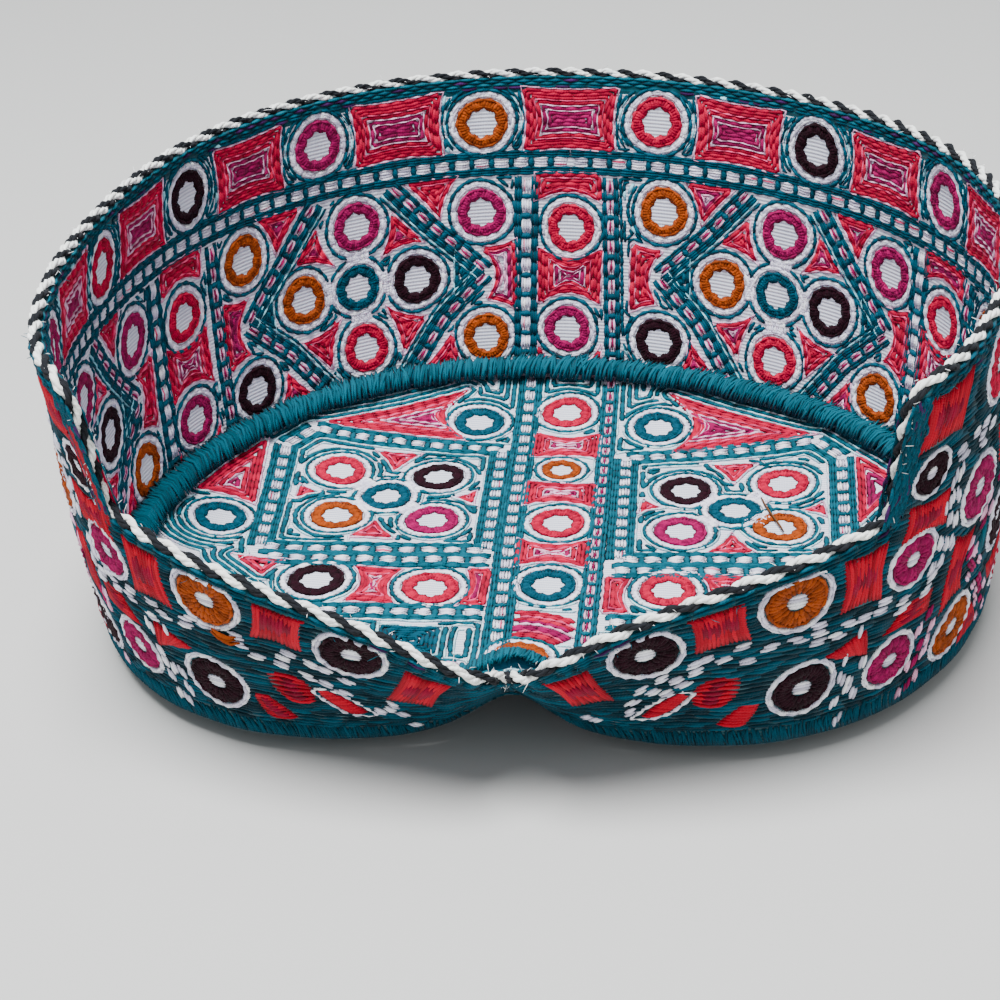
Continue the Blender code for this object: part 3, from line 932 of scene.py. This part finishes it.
def bandPattern(chart):
    outside = chart["face"] == "outside"
    pitch, high = rimRow["pitch"], rimRow["high"]
    for side, sign in (("right", 1), ("left", -1)):
        for i, colour in enumerate(rimRings[side]):
            x = sign * pitch * (i + 0.5)
            ring(chart, x, high, colour, 0.98)
            if not outside:
                for facing in (0, math.pi):
                    for radius, shade, width in ((8.45, "cyan", 0.5), (9.1, "teal", 0.75)):
                        arc = arcOf(x, high, radius, 12, facing - 0.72, facing + 0.72)
                        sew(chart, shade, along(arc, 3.2, 0.1), width, 0.36)
        half = halfRight if sign > 0 else halfLeft - 2.4
        for row in archRow:
            x = sign * (half - row["front"])
            if row["kind"] == "ring":
                ring(chart, x, row["high"], row["colour"], row["size"])
            else:
                corners, lean = box(row["wide"], row["tall"]), sign * row["lean"]
                patch(chart, corners, (0.7, 0.9, 0.7, 0.9), lean=lean, at=(x, row["high"]))
        turned = [(sign * (half - f), h) for f, h in ladderPath]
        ladder(chart, [(0, 49.8)] + turned)
        for f, h, colour, size in hemRings:
            ring(chart, sign * (half - f), h, colour, size)
        for row in hemPatches:
            corners, bows = [(sign * (half - f), h) for f, h in row["corners"]], [row["bow"]] * 4
            patch(chart, corners, bows)
            if outside and row["edged"]:
                sew(chart, "white", along(bowedLine(corners, bows, -0.7), 2.6, -0.3, True), 1.2, 0.4)
    for i in range(-4, 5):
        patch(chart, box(rimRow["wide"], rimRow["tall"]), (0.8, 1.0, 0.8, 1.0), at=(i * pitch, high))
    for kind, low, top in dividers:
        ladder(chart, [(low, 0.8), (top, 46.6)], kind)
    for x in (-204.5, -185.5, 186.0, 203.0):
        ladder(chart, [(x, 0.8), (x, 22.6)], "white" if abs(x) > 200 else "pink")
    for middle, stretch in ((-50.2, 1.01), (50.2, 0.97), (-149.9, 0.97), (146.2, 0.97)):
        widePanel(chart, middle, stretch)
    for middle in (-100.5, -0.3, 97.2):
        narrowPanel(chart, middle)


def belowEdge(chart, margin):
    # no stitch of the pattern comes nearer to the free edge than the margin
    for sets in chart["threads"].values():
        for lines, _, _, _ in sets:
            lines[..., 1] = np.minimum(lines[..., 1], edgeAt(lines[..., 0]) - margin)


def notchStitches(chart):
    # upright stitches that close the bottom of the notch, where both ends of the chart meet
    for end, sign in ((-halfLeft, 1), (halfRight, -1)):
        for x in (end + sign * 0.1, end + sign * 0.6, end + sign * 1.1):
            sew(chart, "teal", [[(x, h) for h in np.linspace(0.2, edgeAt(x) + 0.1, 3)]], 0.9, 0.3)


def clearBlocks(chart):
    # drops the loose blocks outside that would lie on a motif
    for sets in chart["threads"].values():
        sets[:] = [(lines[uncovered(chart, lines[:, 1])] if lift > 0.2 else lines, wide, rise, lift)
                   for lines, wide, rise, lift in sets]


def borderStrip(chart, depths, fleck):
    # rows of teal stitches along the free edge, a few of them purple
    for i, depth in enumerate(depths):
        line = shifted(edgeLine, -depth)
        stitches = along(line, 3.4, 0.15)
        if depth > 0.4:
            stitches = stitches[uncovered(chart, stitches[:, 1]) & uncovered(chart, stitches[:, 0])]
        odd = rng.uniform(0, 1, len(stitches)) < fleck * (i % 2)
        sew(chart, "teal" if i % 2 or chart["face"] == "outside" else "tealLight", stitches[~odd], 0.9, 0.36)
        sew(chart, "purple", stitches[odd], 0.85, 0.40)


def withinBand(points):
    # above the hem and at least 1.4 mm below the free edge
    return (points[..., 1] > 0.4) & (points[..., 1] < edgeAt(points[..., 0]) - 1.4)


bandInside = newChart(onBand, -1, "inside", withinBand)
bandPattern(bandInside)
belowEdge(bandInside, 1.3)
borderStrip(bandInside, (-0.5, 0.2, 0.9, 1.6), 0.25)
bandOutside = newChart(onBand, 1, "outside", withinBand)
bandPattern(bandOutside)
belowEdge(bandOutside, 1.3)
clearBlocks(bandOutside)
notchStitches(bandOutside)
notchStitches(bandInside)
borderStrip(bandOutside, (-0.5, 0.3, 1.1, 1.9), 0.12)
ends = (-halfLeft + 0.5, halfRight - 0.5)
# the outside's ground rows mix teal with a deeper teal that is partly painted shade of the cap's outside
groundRows(bandOutside, (*ends, 3.4, 68.0), 0.84, 4.8, (("teal", 0.45), ("tealDeep", 0.55)), 0.26)
echoRows(bandInside, (*ends, 0.4, 68.0), 0.45, 0.74, 2.8, 1.0, 0.36, (("teal", 0.95), ("cyan", 0.05)))
print("band charted")

crownRings = (
    (0.4, 72.6, "red", 0.97), (1.2, 48.2, "orange", 0.74), (1.7, 25.4, "red", 0.97),
    (1.9, 1.0, "teal", 0.97), (-0.9, -24.7, "orange", 0.92), (-19.3, 68.7, "teal", 0.95),
    (21.4, 67.1, "teal", 0.95), (-67.4, 20.4, "teal", 0.92), (67.4, 18.8, "teal", 0.92),
    (-43.7, 0.4, "dark", 0.97), (-20.8, -0.9, "red", 0.97), (24.9, 0.6, "red", 0.97),
    (47.8, 2.0, "dark", 0.95),
)
squareRings = dict(
    left=((-46.5, 44.4, "red"), (-24.6, 43.3, "dark"), (-44.7, 25.9, "orange"),
          (-24.0, 25.4, "magenta"), (-35.1, 34.6, "teal")),
    right=((27.9, 41.3, "dark"), (48.0, 44.1, "red"), (27.4, 23.7, "magenta"),
           (47.6, 26.3, "orange"), (37.9, 32.8, "teal")),
)
crownFrames = (
    ((-57.4, 12.0), (-59.8, 51.6), (-54.8, 59.4), (-12.6, 56.6), (-11.4, 13.4), (-57.4, 12.0)),
    ((60.0, 14.0), (60.8, 52.4), (55.4, 59.4), (14.8, 54.2), (15.4, 11.6), (60.0, 14.0)),
)
# level ladders beside the strip: from and to along x, y at the start, and slope
crownBars = (
    (-56.0, -10.2, 8.4, 0.03), (14.0, 58.0, 7.4, 0.05),
    (-51.0, -9.4, -10.6, 0.03), (13.8, 50.0, -11.4, 0.03),
)
# patches of the crown: corners, and how far each side bows in
crownPatches = (
    (((-53.0, 62.6), (-23.0, 80.0), (-21.6, 60.8)), (0.2, 5.4, 0.2)),
    (((55.2, 62.0), (23.4, 79.4), (24.4, 57.6)), (0.2, 5.6, 0.2)),
    (((-74.4, 29.6), (-64.4, 51.6), (-62.4, 27.6)), (-0.6, 0.2, 1.2)),
    (((64.0, 52.2), (73.0, 38.4), (63.4, 27.2)), (-0.6, 1.0, 0.2)),
    (((-61.8, 7.4), (-50.8, 7.0), (-54.8, 1.4)), (0.2, 0.6, 0.2)),
    (((-36.8, 5.8), (-27.2, 5.4), (-27.0, -7.0), (-37.0, -6.4)), (0.4, 2.6, 0.4, 2.6)),
    (((-14.4, 6.0), (-9.9, 6.2), (-9.7, -6.4), (-14.6, -6.8)), (0.2, 0.1, 0.2, 1.6)),
    (((13.4, 5.0), (17.6, 5.0), (18.0, -7.6), (13.4, -7.6)), (0.2, 1.6, 0.2, 0.1)),
    (((31.6, 6.6), (40.8, 7.0), (41.0, -5.0), (31.8, -5.4)), (0.4, 2.4, 0.4, 2.4)),
    (((55.0, 8.6), (61.4, 9.4), (59.4, -1.6), (55.6, -3.4)), (0.2, 0.2, 0.2, 1.6)),
    (((-6.0, 64.6), (8.4, 64.6), (8.6, 54.2), (-5.8, 54.2)), (2.2, 0.1, 1.0, 0.1)),
    (((-5.6, 42.4), (8.6, 42.4), (8.8, 32.6), (-5.4, 32.6)), (1.0, 0.1, 2.2, 0.1)),
    (((-5.2, 18.4), (9.0, 18.4), (9.0, 8.2), (-5.0, 8.2)), (2.2, 0.1, 2.2, 0.1)),
    (((-49.6, -15.0), (-40.6, -14.6), (-40.8, -24.6)), (0.2, 0.2, -0.8)),
    (((41.6, -13.4), (50.6, -12.4), (41.8, -23.4)), (0.2, -0.8, 0.2)),
    (((-31.4, -25.6), (-12.4, -27.4), (-12.6, -39.0)), (0.2, 0.2, -0.8)),
    (((13.4, -27.4), (32.0, -24.6), (13.6, -39.0)), (0.2, -0.8, 0.2)),
)


fanColours = ("red", "red", "pink", "magenta", "magenta", "pale", "magenta", "red", "pink", "red", "red")


def crownPattern(chart):
    # strip of rings and patches front to back between two ladders, a square of five
    # rings in a ladder frame on each side, and rings and patches in the segments left
    for x, y, colour, scale in crownRings:
        ring(chart, x, y, colour, scale)
    ladder(chart, [(-8.7, 86.0), (-7.6, 30.0), (-5.9, -18.5), (-5.4, -46.0)])
    ladder(chart, [(9.8, 86.0), (10.4, 30.0), (10.6, -46.0)], "pink")
    for side, rings in squareRings.items():
        middle = np.array(rings[-1][:2])
        bearings = []
        for x, y, colour in rings[:-1]:
            bearing = math.degrees(math.atan2(y - middle[1], x - middle[0]))
            bearings.append(bearing)
            ring(chart, x, y, colour, 0.95, (bearing + 180,))
        ring(chart, middle[0], middle[1], "teal", 0.93, tuple(bearings))
        corner = ((0, 16.6, 0, 4.4), (-0.2, -14.8, 180, 4.4), (-17.6, 0.2, 90, 2.4), (17.4, 0.4, -90, 2.4))
        for dx, dy, lean, wide in corner:
            corners = np.array([(-wide, wide * 0.45), (wide, wide * 0.45), (0, -wide * 1.1)])
            patch(chart, corners, (0.1, 0.6, 0.6), "smallB", lean, (middle[0] + dx, middle[1] + dy))
    for frameLine in crownFrames:
        for a, b in zip(frameLine, frameLine[1:]):
            ladder(chart, [a, b])
    for corners, bows in crownPatches:
        patch(chart, corners, bows)
    for x0, x1, y, slope in crownBars:
        ladder(chart, [(x0, y), (x1, y + slope * (x1 - x0))])
    for x in (-22.4, 22.6):
        patch(chart, box(11.0, 8.8), (0.2,) * 4, "teal", at=(x, -19.4))
    # fan of arcs over the ring at the front of the strip
    for i, colour in enumerate(fanColours):
        arc = arcOf(-0.9, -24.7, 8.0 + 0.8 * i, 30, 0.22 * math.pi, 0.78 * math.pi)
        stitches = along(arc, 2.4, -0.5)
        inside = (stitches[..., 0] > -4.2) & (stitches[..., 0] < 8.8) & (stitches[..., 1] < -7.6)
        sew(chart, colour, stitches[inside.all(1)], 1.5 if colour in ("red", "magenta") else 0.8, 0.42)
    fan = np.array([(-4.0, -8.2), (8.6, -8.2), (8.6, -19.4), (-4.0, -19.4)])
    chart["holes"].append(("sided", fan, 0.2))


def withinCrown(points):
    # inside the crown's rim, less a margin for the seam
    return crownShare(*onPlan(points))[0] < 0.985


def trimmed(chart):
    # drops the stitches that leave the crown
    for sets in chart["threads"].values():
        sets[:] = [(lines[chart["within"](lines).all(1)], *rest) for lines, *rest in sets]


# the crown's lines are in the paler teal, partly painted light: a lit copy of the band's teal
crownInside = newChart(onCrown, 1, "inside", withinCrown, "tealLight", 0.2)
crownOutside = newChart(onCrown, -1, "outside", withinCrown, "tealLight", 0.2)
for chart in (crownInside, crownOutside):
    crownPattern(chart)
# the underside's ground rows: the deeper teal is partly painted shade
groundRows(crownOutside, (-88, 88, -52, 92), 1.6, 6.5, (("teal", 0.8), ("tealDeep", 0.2)), 0.34)
# painted light: the crown's echo rows in the paler, lit teal
echoRows(crownInside, (-88, 88, -56, 96), 0.95, 1.5, 3.4, 1.35, 0.38, (("tealLight", 1.0),))
echoRows(crownInside, (-88, 88, -56, 96), 0.15, 1.5, 3.8, 0.6, 0.24, (("ice", 0.8), ("white", 0.2)))
for chart in (crownInside, crownOutside):
    trimmed(chart)
print("crown charted")

chartPieces(bandInside, "band_in")
chartPieces(bandOutside, "band_out")
chartPieces(crownInside, "crown_in")
chartPieces(crownOutside, "crown_under")


skin = dict(overEdge=0.7, overRim=0.7, bandColumns=480, bandRows=20, crownColumns=200, crownRings=30)


def nearNotch(turn):
    # the same turns, from -pi to pi
    return (turn + math.pi) % (2 * math.pi) - math.pi


def gridQuads(columns, rows, wraps):
    # faces of a grid whose columns close in a ring, and whose rows do too where it wraps
    c, r = np.meshgrid(np.arange(columns), np.arange(rows if wraps else rows - 1), indexing="ij")
    there, up = (c + 1) % columns, (r + 1) % rows
    return np.stack([c * rows + r, there * rows + r, there * rows + up, c * rows + up], -1).reshape(-1, 4)


def beyondEdge(turn, high, by):
    # moves places on the free edge outward in the cloth, along the normal of their line,
    # less near the notch, where the two sides meet
    x, y = chartX(nearNotch(turn)), high / mm
    dx = (np.roll(x, -1) - np.roll(x, 1) + girth / 2) % girth - girth / 2
    dy = np.roll(y, -1) - np.roll(y, 1)
    size = np.hypot(dx, dy) * np.sign(dx.sum())
    by = by * np.clip(np.minimum(np.abs(x - halfRight), np.abs(x + halfLeft)) / 5, 0.1, 1)
    x, y = x - by * dy / size, y + by * dx / size
    moved = turnAt((x + halfLeft) % girth - halfLeft)
    return turn + (moved - turn + math.pi) % (2 * math.pi) - math.pi, y * mm


def bandCloth():
    # closed wall: each column runs from the hem to the free edge, the columns fanned
    # out beside the steep sides, out by half the cloth to either side
    edgeT, edgeH = edgePath(skin["bandColumns"])
    edgeT, edgeH = beyondEdge(edgeT, edgeH, skin["overEdge"])
    fan = 29
    wrapped = np.concatenate([edgeT[-fan:] - 2 * math.pi, edgeT, edgeT[:fan] + 2 * math.pi])
    hemT = blurred(wrapped, fan)[fan:-fan]
    share = np.linspace(0, 1, skin["bandRows"] + 1)[None]
    turn = hemT[:, None] + (edgeT - hemT)[:, None] * share ** 1.5
    high = -cap["bandHem"] + (edgeH + cap["bandHem"])[:, None] * share
    xy = np.stack([chartX(nearNotch(turn)), high / mm], -1)
    normal = wallNormal(turn, high)
    thick = (clothHalf + relief(xy[..., 0], xy[..., 1]))[..., None] * mm
    outer, inner = wall(turn, high) + normal * thick, wall(turn, high) - normal * thick
    grid = np.concatenate([outer, inner[:, ::-1]], axis=1)
    places = np.concatenate([xy, xy[:, ::-1]], axis=1)
    columns, rows = grid.shape[:2]
    quads = gridQuads(columns, rows, True)
    piece = makeMesh("band_cloth", grid.reshape(-1, 3), [quads], {"cloth": places.reshape(-1, 2)},
                     [insideCloth, outsideCloth])
    faceRow = np.arange(len(quads)) % rows
    dark = (faceRow < skin["bandRows"] + 2) | (faceRow == rows - 1)   # outside, free edge and hem
    piece.data.polygons.foreach_set("material_index", dark.astype(np.int32))
    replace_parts(piece, "side_band")
    return piece


def crownCloth():
    # closed bowl: rings from near the middle to the rim on top and the same below, with
    # a point in the middle of each face; the rim runs a little way into the wall's cloth
    angle = np.linspace(0, 2 * math.pi, skin["crownColumns"], endpoint=False)
    reach = np.interp(nearNotch(angle), rimAngle, rimReach, period=2 * math.pi)
    reach = reach + skin["overRim"] * mm
    share = np.linspace(0.03, 1, skin["crownRings"])
    x = crownMiddle[0] + (np.cos(angle) * reach)[:, None] * share
    y = crownMiddle[1] + (np.sin(angle) * reach)[:, None] * share
    xy = np.stack([(x - cap["axisX"]) / mm, (y - cap["axisY"]) / mm], -1)
    top, _ = onCrown(xy, 1, 0.0)
    under, _ = onCrown(xy, -1, 0.0)
    grid = np.concatenate([top, under[:, ::-1]], axis=1)
    places = np.concatenate([xy, xy[:, ::-1]], axis=1)
    columns, rows = grid.shape[:2]
    quads = gridQuads(columns, rows, False)
    middle = np.array([[0.0, cap["crownBack"] / mm]])
    poles = np.concatenate([onCrown(middle, 1, 0.0)[0], onCrown(middle, -1, 0.0)[0]])
    points = np.concatenate([grid.reshape(-1, 3), poles])
    c = np.arange(columns)
    there = (c + 1) % columns
    topFan = np.stack([np.full(columns, columns * rows), there * rows, c * rows], -1)
    underFan = np.stack([topFan[:, 0] + 1, topFan[:, 2] + rows - 1, topFan[:, 1] + rows - 1], -1)
    uvs = {"cloth": np.concatenate([places.reshape(-1, 2), middle, middle])}
    piece = makeMesh("crown_cloth", points, [quads, np.concatenate([topFan, underFan])], uvs,
                     [insideCloth, outsideCloth])
    under = np.arange(len(quads)) % (rows - 1) >= skin["crownRings"]
    index = np.concatenate([under, np.zeros(columns), np.ones(columns)]).astype(np.int32)
    piece.data.polygons.foreach_set("material_index", index)
    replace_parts(piece, "crown")
    return piece


bandCloth()
crownCloth()
print("cloth laid")


cordLook = dict(off=1.35, pitch=8.4, strand=0.54, yarnPitch=3.4, sides=5, rings=1120,
                ivory=dict(yarn=0.37, spread=0.34), charcoal=dict(yarn=0.34, spread=0.31))


def yarnTube(centre, sideA, sideB, radius, sides, shade):
    # closed tube: rings radius (cos sideA + sin sideB) about a closed line
    turn = np.linspace(0, 2 * math.pi, sides, endpoint=False)
    ringOf = np.cos(turn)[None, :, None] * sideA[:, None] + np.sin(turn)[None, :, None] * sideB[:, None]
    points = centre[:, None] + np.asarray(radius)[..., None, None] * ringOf
    shape = (len(centre), sides)
    corner = np.arange(sides)
    bake = flatMap(shade[:, None] * 0.9 + 0.05, 0.5 + 0.3 * np.sin(2 * math.pi * corner / sides), shape)
    ply = flatMap(corner / sides, np.arange(len(centre))[:, None] * 0.4, shape)
    return points.reshape(-1, 3), gridQuads(*shape, True), np.empty((0, 3), int), bake, ply


def aheadOn(line):
    # direction at each point of a closed line
    return unit(np.roll(line, -1, axis=0) - np.roll(line, 1, axis=0))


def rimCord():
    # two strands wind round the cord's line, strand = line + R (cos a away + sin a normal)
    # with a = 2 pi run / pitch, and three yarns wind round each strand the other way
    look = cordLook
    turn, high = edgePath(look["rings"])
    edge = wall(turn, high)
    normal = wallNormal(turn, high)
    away = unit(np.cross(normal, aheadOn(edge)))
    centre = edge + away * look["off"] * mm
    length = np.linalg.norm(np.roll(centre, -1, axis=0) - centre, axis=1)
    runAt = np.concatenate([[0], np.cumsum(length)[:-1]]) / mm
    total = length.sum() / mm
    twists, yarnTwists = round(total / look["pitch"]), round(total / look["yarnPitch"])

    def about(angle):
        return np.cos(angle)[:, None] * away + np.sin(angle)[:, None] * normal

    slack = 0.35 * np.sin(2 * math.pi * 9 * runAt / total)
    slack = slack + 0.25 * np.sin(2 * math.pi * 23 * runAt / total + 1)
    for which, colour in enumerate(("ivory", "charcoal")):
        angle = 2 * math.pi * twists * runAt / total + math.pi * which + slack
        spread = look["strand"] * (1 + 0.08 * np.sin(2 * math.pi * 31 * runAt / total + which))
        strand = centre + about(angle) * spread[:, None] * mm
        yarns = []
        for j in range(3):
            spin = -2 * math.pi * yarnTwists * runAt / total + 2 * math.pi * j / 3 + angle
            yarn = strand + about(spin) * look[colour]["spread"] * mm
            forward = aheadOn(yarn)
            sideA = unit(np.cross(forward, normal))
            i = np.arange(len(yarn))
            shade = 0.5 + 0.3 * np.sin(0.9 * i + 2.1 * j) * np.sin(0.07 * i)
            radius = look[colour]["yarn"] * mm * (1 + 0.07 * np.sin(0.61 * i + j))
            yarns.append(yarnTube(yarn, sideA, np.cross(forward, sideA), radius, look["sides"], shade))
        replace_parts(threadPiece("cord_" + colour, yarns, colour), "rim_cord")


rimCord()
print("cord twisted")


overcast = dict(roll=1.7, whips=1500, hemStitches=1700, hemLow=-1.3, hemTall=4.4)


def seamRoll():
    # roll inside the crown seam: a core tube, and stitches from the wall over it to the
    # crown, their points given as (inward, up) in mm, slanted and ragged at both ends
    look = overcast
    radius = look["roll"] * mm
    count = 360
    turn = np.linspace(-math.pi, math.pi, count, endpoint=False)
    up = np.array([0.0, 0.0, 1.0])

    def line(turn):
        lift = cap["crownThick"] / 2 + cap["gap"] + 0.002
        inward = -outward(turn)
        at = seam(turn) + inward * (cap["bandThick"] / 2 + cap["gap"] + 0.002)
        return at + up * lift, inward

    centre, inward = line(turn)
    upright = np.broadcast_to(up, (count, 3))
    core = yarnTube(centre, inward, upright, np.full(count, radius), 10, np.full(count, 0.35))
    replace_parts(threadPiece("seam_core", [core], "teal"), "crown_seam")
    n = look["whips"]
    at = np.linspace(-math.pi, math.pi, n, endpoint=False) + rng.normal(0, 0.004, n)
    shape = np.array([(-2.4, 1.4), (-1.0, 1.8), (0.8, 1.75), (1.85, 0.6), (2.6, -1.7)])
    shape = np.broadcast_to(shape, (n, 5, 2)).copy()
    shape[:, 0, 1] += rng.uniform(-0.4, 0.9, n) + 0.3 * np.sin(at * 37)
    shape[:, 4, 0] += rng.uniform(-0.3, 0.8, n) + 0.3 * np.sin(at * 29)
    shape += rng.normal(0, 0.05, (n, 1, 1))
    centre, inward = line(at[:, None] + np.linspace(-0.010, 0.010, 5)[None] * rng.normal(1, 0.7, n)[:, None])
    points = centre + (shape[..., :1] * inward + shape[..., 1:] * up) * mm
    facing = unit(shape[..., :1] * inward + (shape[..., 1:] + 1.0) * up)
    wide, rise = 0.8 * rng.normal(1, 0.15, n), 0.14 * rng.normal(1, 0.3, n)
    whips = threadSolid(points, facing, wide, rise, rng.uniform(0, 1, n))
    threadPiece("seam_whips", [whips], "tealLight")


def outerHem():
    # upright overcast stitches over the outer bottom edge of the band
    look = overcast
    n = look["hemStitches"]
    x = np.linspace(-halfLeft, halfRight, n, endpoint=False) + rng.normal(0, 0.12, n)
    t = np.linspace(0, 1, 3)
    tall = look["hemTall"] + rng.normal(0, 0.5, n)
    slant = (0.9 + rng.normal(0, 0.45, n))[:, None]
    lines = np.stack([x[:, None] + slant * t[None], look["hemLow"] + tall[:, None] * t[None]], -1)
    points, normals = onBand(lines, 1, 0.15)
    wide, rise = 0.62 * rng.normal(1, 0.15, n), 0.24 * rng.normal(1, 0.3, n)
    solid = threadSolid(points, normals, wide, rise, rng.uniform(0, 1, n))
    threadPiece("hem_stitches", [solid], "teal")


seamRoll()
outerHem()
print("seams overcast")


fuzz = dict(count=380, shortest=0.5, longest=1.6, thick=0.07, cordCount=300, cordLongest=1.3)


def hairs(name, start, out, length, thick, colour):
    # bent hairs: start + t out + t^2 sway, as thin ridges, never below the floor
    n = len(start)
    sway = rng.normal(0, 1, (n, 3))
    t = np.linspace(0, 1, 3)[None, :, None]
    out = out + 0.5 * rng.normal(0, 1, (n, 3))
    out = unit(out)
    length = length[:, None, None] * mm
    points = start[:, None] + out[:, None] * t * length * 0.6 + sway[:, None] * t ** 2 * length * 0.45
    points[..., 2] = np.maximum(points[..., 2], 0.0003)
    facing = np.broadcast_to(unit(np.cross(sway + 0.01, out))[:, None], points.shape)
    # painted light: the hairs' shades run from 0.6 to 1, lighter than the stitches, to make up for the shade
    # on such thin hairs
    solid = threadSolid(points, facing, np.full(n, thick), np.full(n, thick * 0.8), rng.uniform(0.6, 1, n))
    threadPiece(name, [solid], colour)


def fibres():
    # hairs off the teal stitches at the rim and the hem, and off the cord, all drawn lighter as painted light
    look = fuzz
    n = look["count"]
    x = rng.uniform(-halfLeft, halfRight, n)
    top = edgeAt(x)
    atRim = rng.uniform(0, 1, n) < 0.7
    y = np.where(atRim, top - rng.uniform(0.2, 2.4, n), rng.uniform(0, 4, n))
    side = np.where((rng.uniform(0, 1, n) < 0.6) | ~atRim, 1, -1)
    start, normal = onBand(np.stack([x, y], -1), 1, 0.3)
    startIn, _ = onBand(np.stack([x, y], -1), -1, 0.3)
    start = np.where(side[:, None] > 0, start, startIn)
    length = rng.uniform(look["shortest"], look["longest"], n) * np.where(atRim, 1, 0.6)
    hairs("loose_fibres", start, normal * side[:, None], length, look["thick"], "tealLight")
    n = look["cordCount"]
    turn, high = edgePath(n)
    turn, high = beyondEdge(turn, high, cordLook["off"] + rng.uniform(-0.3, 0.9, n))
    normal = wallNormal(turn, high) * rng.choice([-1, 1], n)[:, None]
    start = wall(turn, high) + normal * 0.9 * mm
    length = rng.uniform(0.6, look["cordLongest"], n) * np.where(np.abs(turn) > 3.05, 2.2, 1)
    hairs("cord_fibres", start, normal + np.array([0, 0, 0.5]), length, look["thick"], "ivory")


def looseEnds():
    # a tail of orange thread outside and a brown one that lies on the crown
    tail = np.array([(-halfLeft + f, h) for f, h in ((49.6, 27.0), (48.2, 26.0), (46.8, 25.6), (45.2, 26.2))])
    points, normals = onBand(np.stack([tail, tail + (0.3, -0.7), tail + (-0.5, -1.2)]), 1, 0.6)
    solid = threadSolid(points, normals, np.full(3, 0.9), np.full(3, 0.5), np.full(3, 0.6))
    threadPiece("tail_orange", [solid], "orange")
    line = spaced(np.array([(43.6, 37.4), (44.6, 33.4), (46.2, 28.8), (48.0, 23.4)]), 10)
    points, normals = onCrown(line[None], 1, 0.85)
    solid = threadSolid(points, normals, np.full(1, 0.42), np.full(1, 0.4), np.full(1, 0.5))
    threadPiece("tail_brown", [solid], "brown")


fibres()
looseEnds()
print("fibres drawn")


stage = dict(
    floor=(206, 204, 200), reach=4.0, world=0.56, worldTint=(0.90, 0.95, 1.0),
    key=31.0, keyTint=(0.94, 0.97, 1.0), fill=0.6,
)


def plainFloor():
    # one level square about the origin
    mesh = bpy.data.meshes.new("floor")
    r = stage["reach"]
    mesh.from_pydata([(-r, -r, 0), (r, -r, 0), (r, r, 0), (-r, r, 0)], [], [(0, 1, 2, 3)])
    material = bpy.data.materials.new("floor")
    material.use_nodes = True
    shader = material.node_tree.nodes["Principled BSDF"]
    shader.inputs["Base Color"].default_value = fromScreen(*stage["floor"])
    shader.inputs["Roughness"].default_value = 0.7
    mesh.materials.append(material)
    floor = bpy.data.objects.new("floor", mesh)
    bpy.context.scene.collection.objects.link(floor)


def areaLight(name, place, target, size, power, tint=(1, 1, 1)):
    # round lamp at a place, turned to its target
    data = bpy.data.lights.new(name, "AREA")
    data.shape, data.size, data.energy, data.color = "DISK", size, power, tint
    lamp = bpy.data.objects.new(name, data)
    lamp.location = place
    lamp.rotation_euler = (Vector(target) - Vector(place)).to_track_quat("-Z", "Y").to_euler()
    bpy.context.scene.collection.objects.link(lamp)


def setCamera():
    # the view's own axes: right, up and back, with the lens from the image's 1900 pixels
    # to 1000 across a 36 mm sensor
    look = dict(azimuth=6.96, elevation=29.36, roll=-1.85, distance=0.3666, shiftX=0.00704, shiftY=-0.0140)
    az, el, roll = (math.radians(look[k]) for k in ("azimuth", "elevation", "roll"))
    back = np.array([math.sin(az) * math.cos(el), -math.cos(az) * math.cos(el), math.sin(el)])
    right = np.cross(-back, [0, 0, 1])
    right /= np.linalg.norm(right)
    up = np.cross(right, -back)
    right, up = right * math.cos(roll) + up * math.sin(roll), -right * math.sin(roll) + up * math.cos(roll)
    place = np.array([cap["axisX"], cap["axisY"], 0.0055]) + back * look["distance"]
    place = place - look["shiftX"] * right - look["shiftY"] * up
    data = bpy.data.cameras.new("camera")
    data.sensor_width = 36.0
    data.lens = 1900 / 1000 * 36.0
    data.clip_start = 0.01
    camera = bpy.data.objects.new("camera", data)
    turned = Matrix((right, up, back)).transposed().to_4x4()
    camera.matrix_world = Matrix.Translation(Vector(place)) @ turned
    bpy.context.scene.collection.objects.link(camera)
    bpy.context.scene.camera = camera


plainFloor()
world = bpy.data.worlds.new("sky")
world.use_nodes = True
world.node_tree.nodes["Background"].inputs[0].default_value = (*stage["worldTint"], 1)
world.node_tree.nodes["Background"].inputs[1].default_value = stage["world"]
bpy.context.scene.world = world
areaLight("key", (-0.12, -0.24, 1.12), (0, 0.02, 0.02), 0.6, stage["key"], stage["keyTint"])
areaLight("fill", (0.8, -0.5, 0.7), (0, 0, 0.03), 0.8, stage["fill"])
setCamera()
print("stage set")
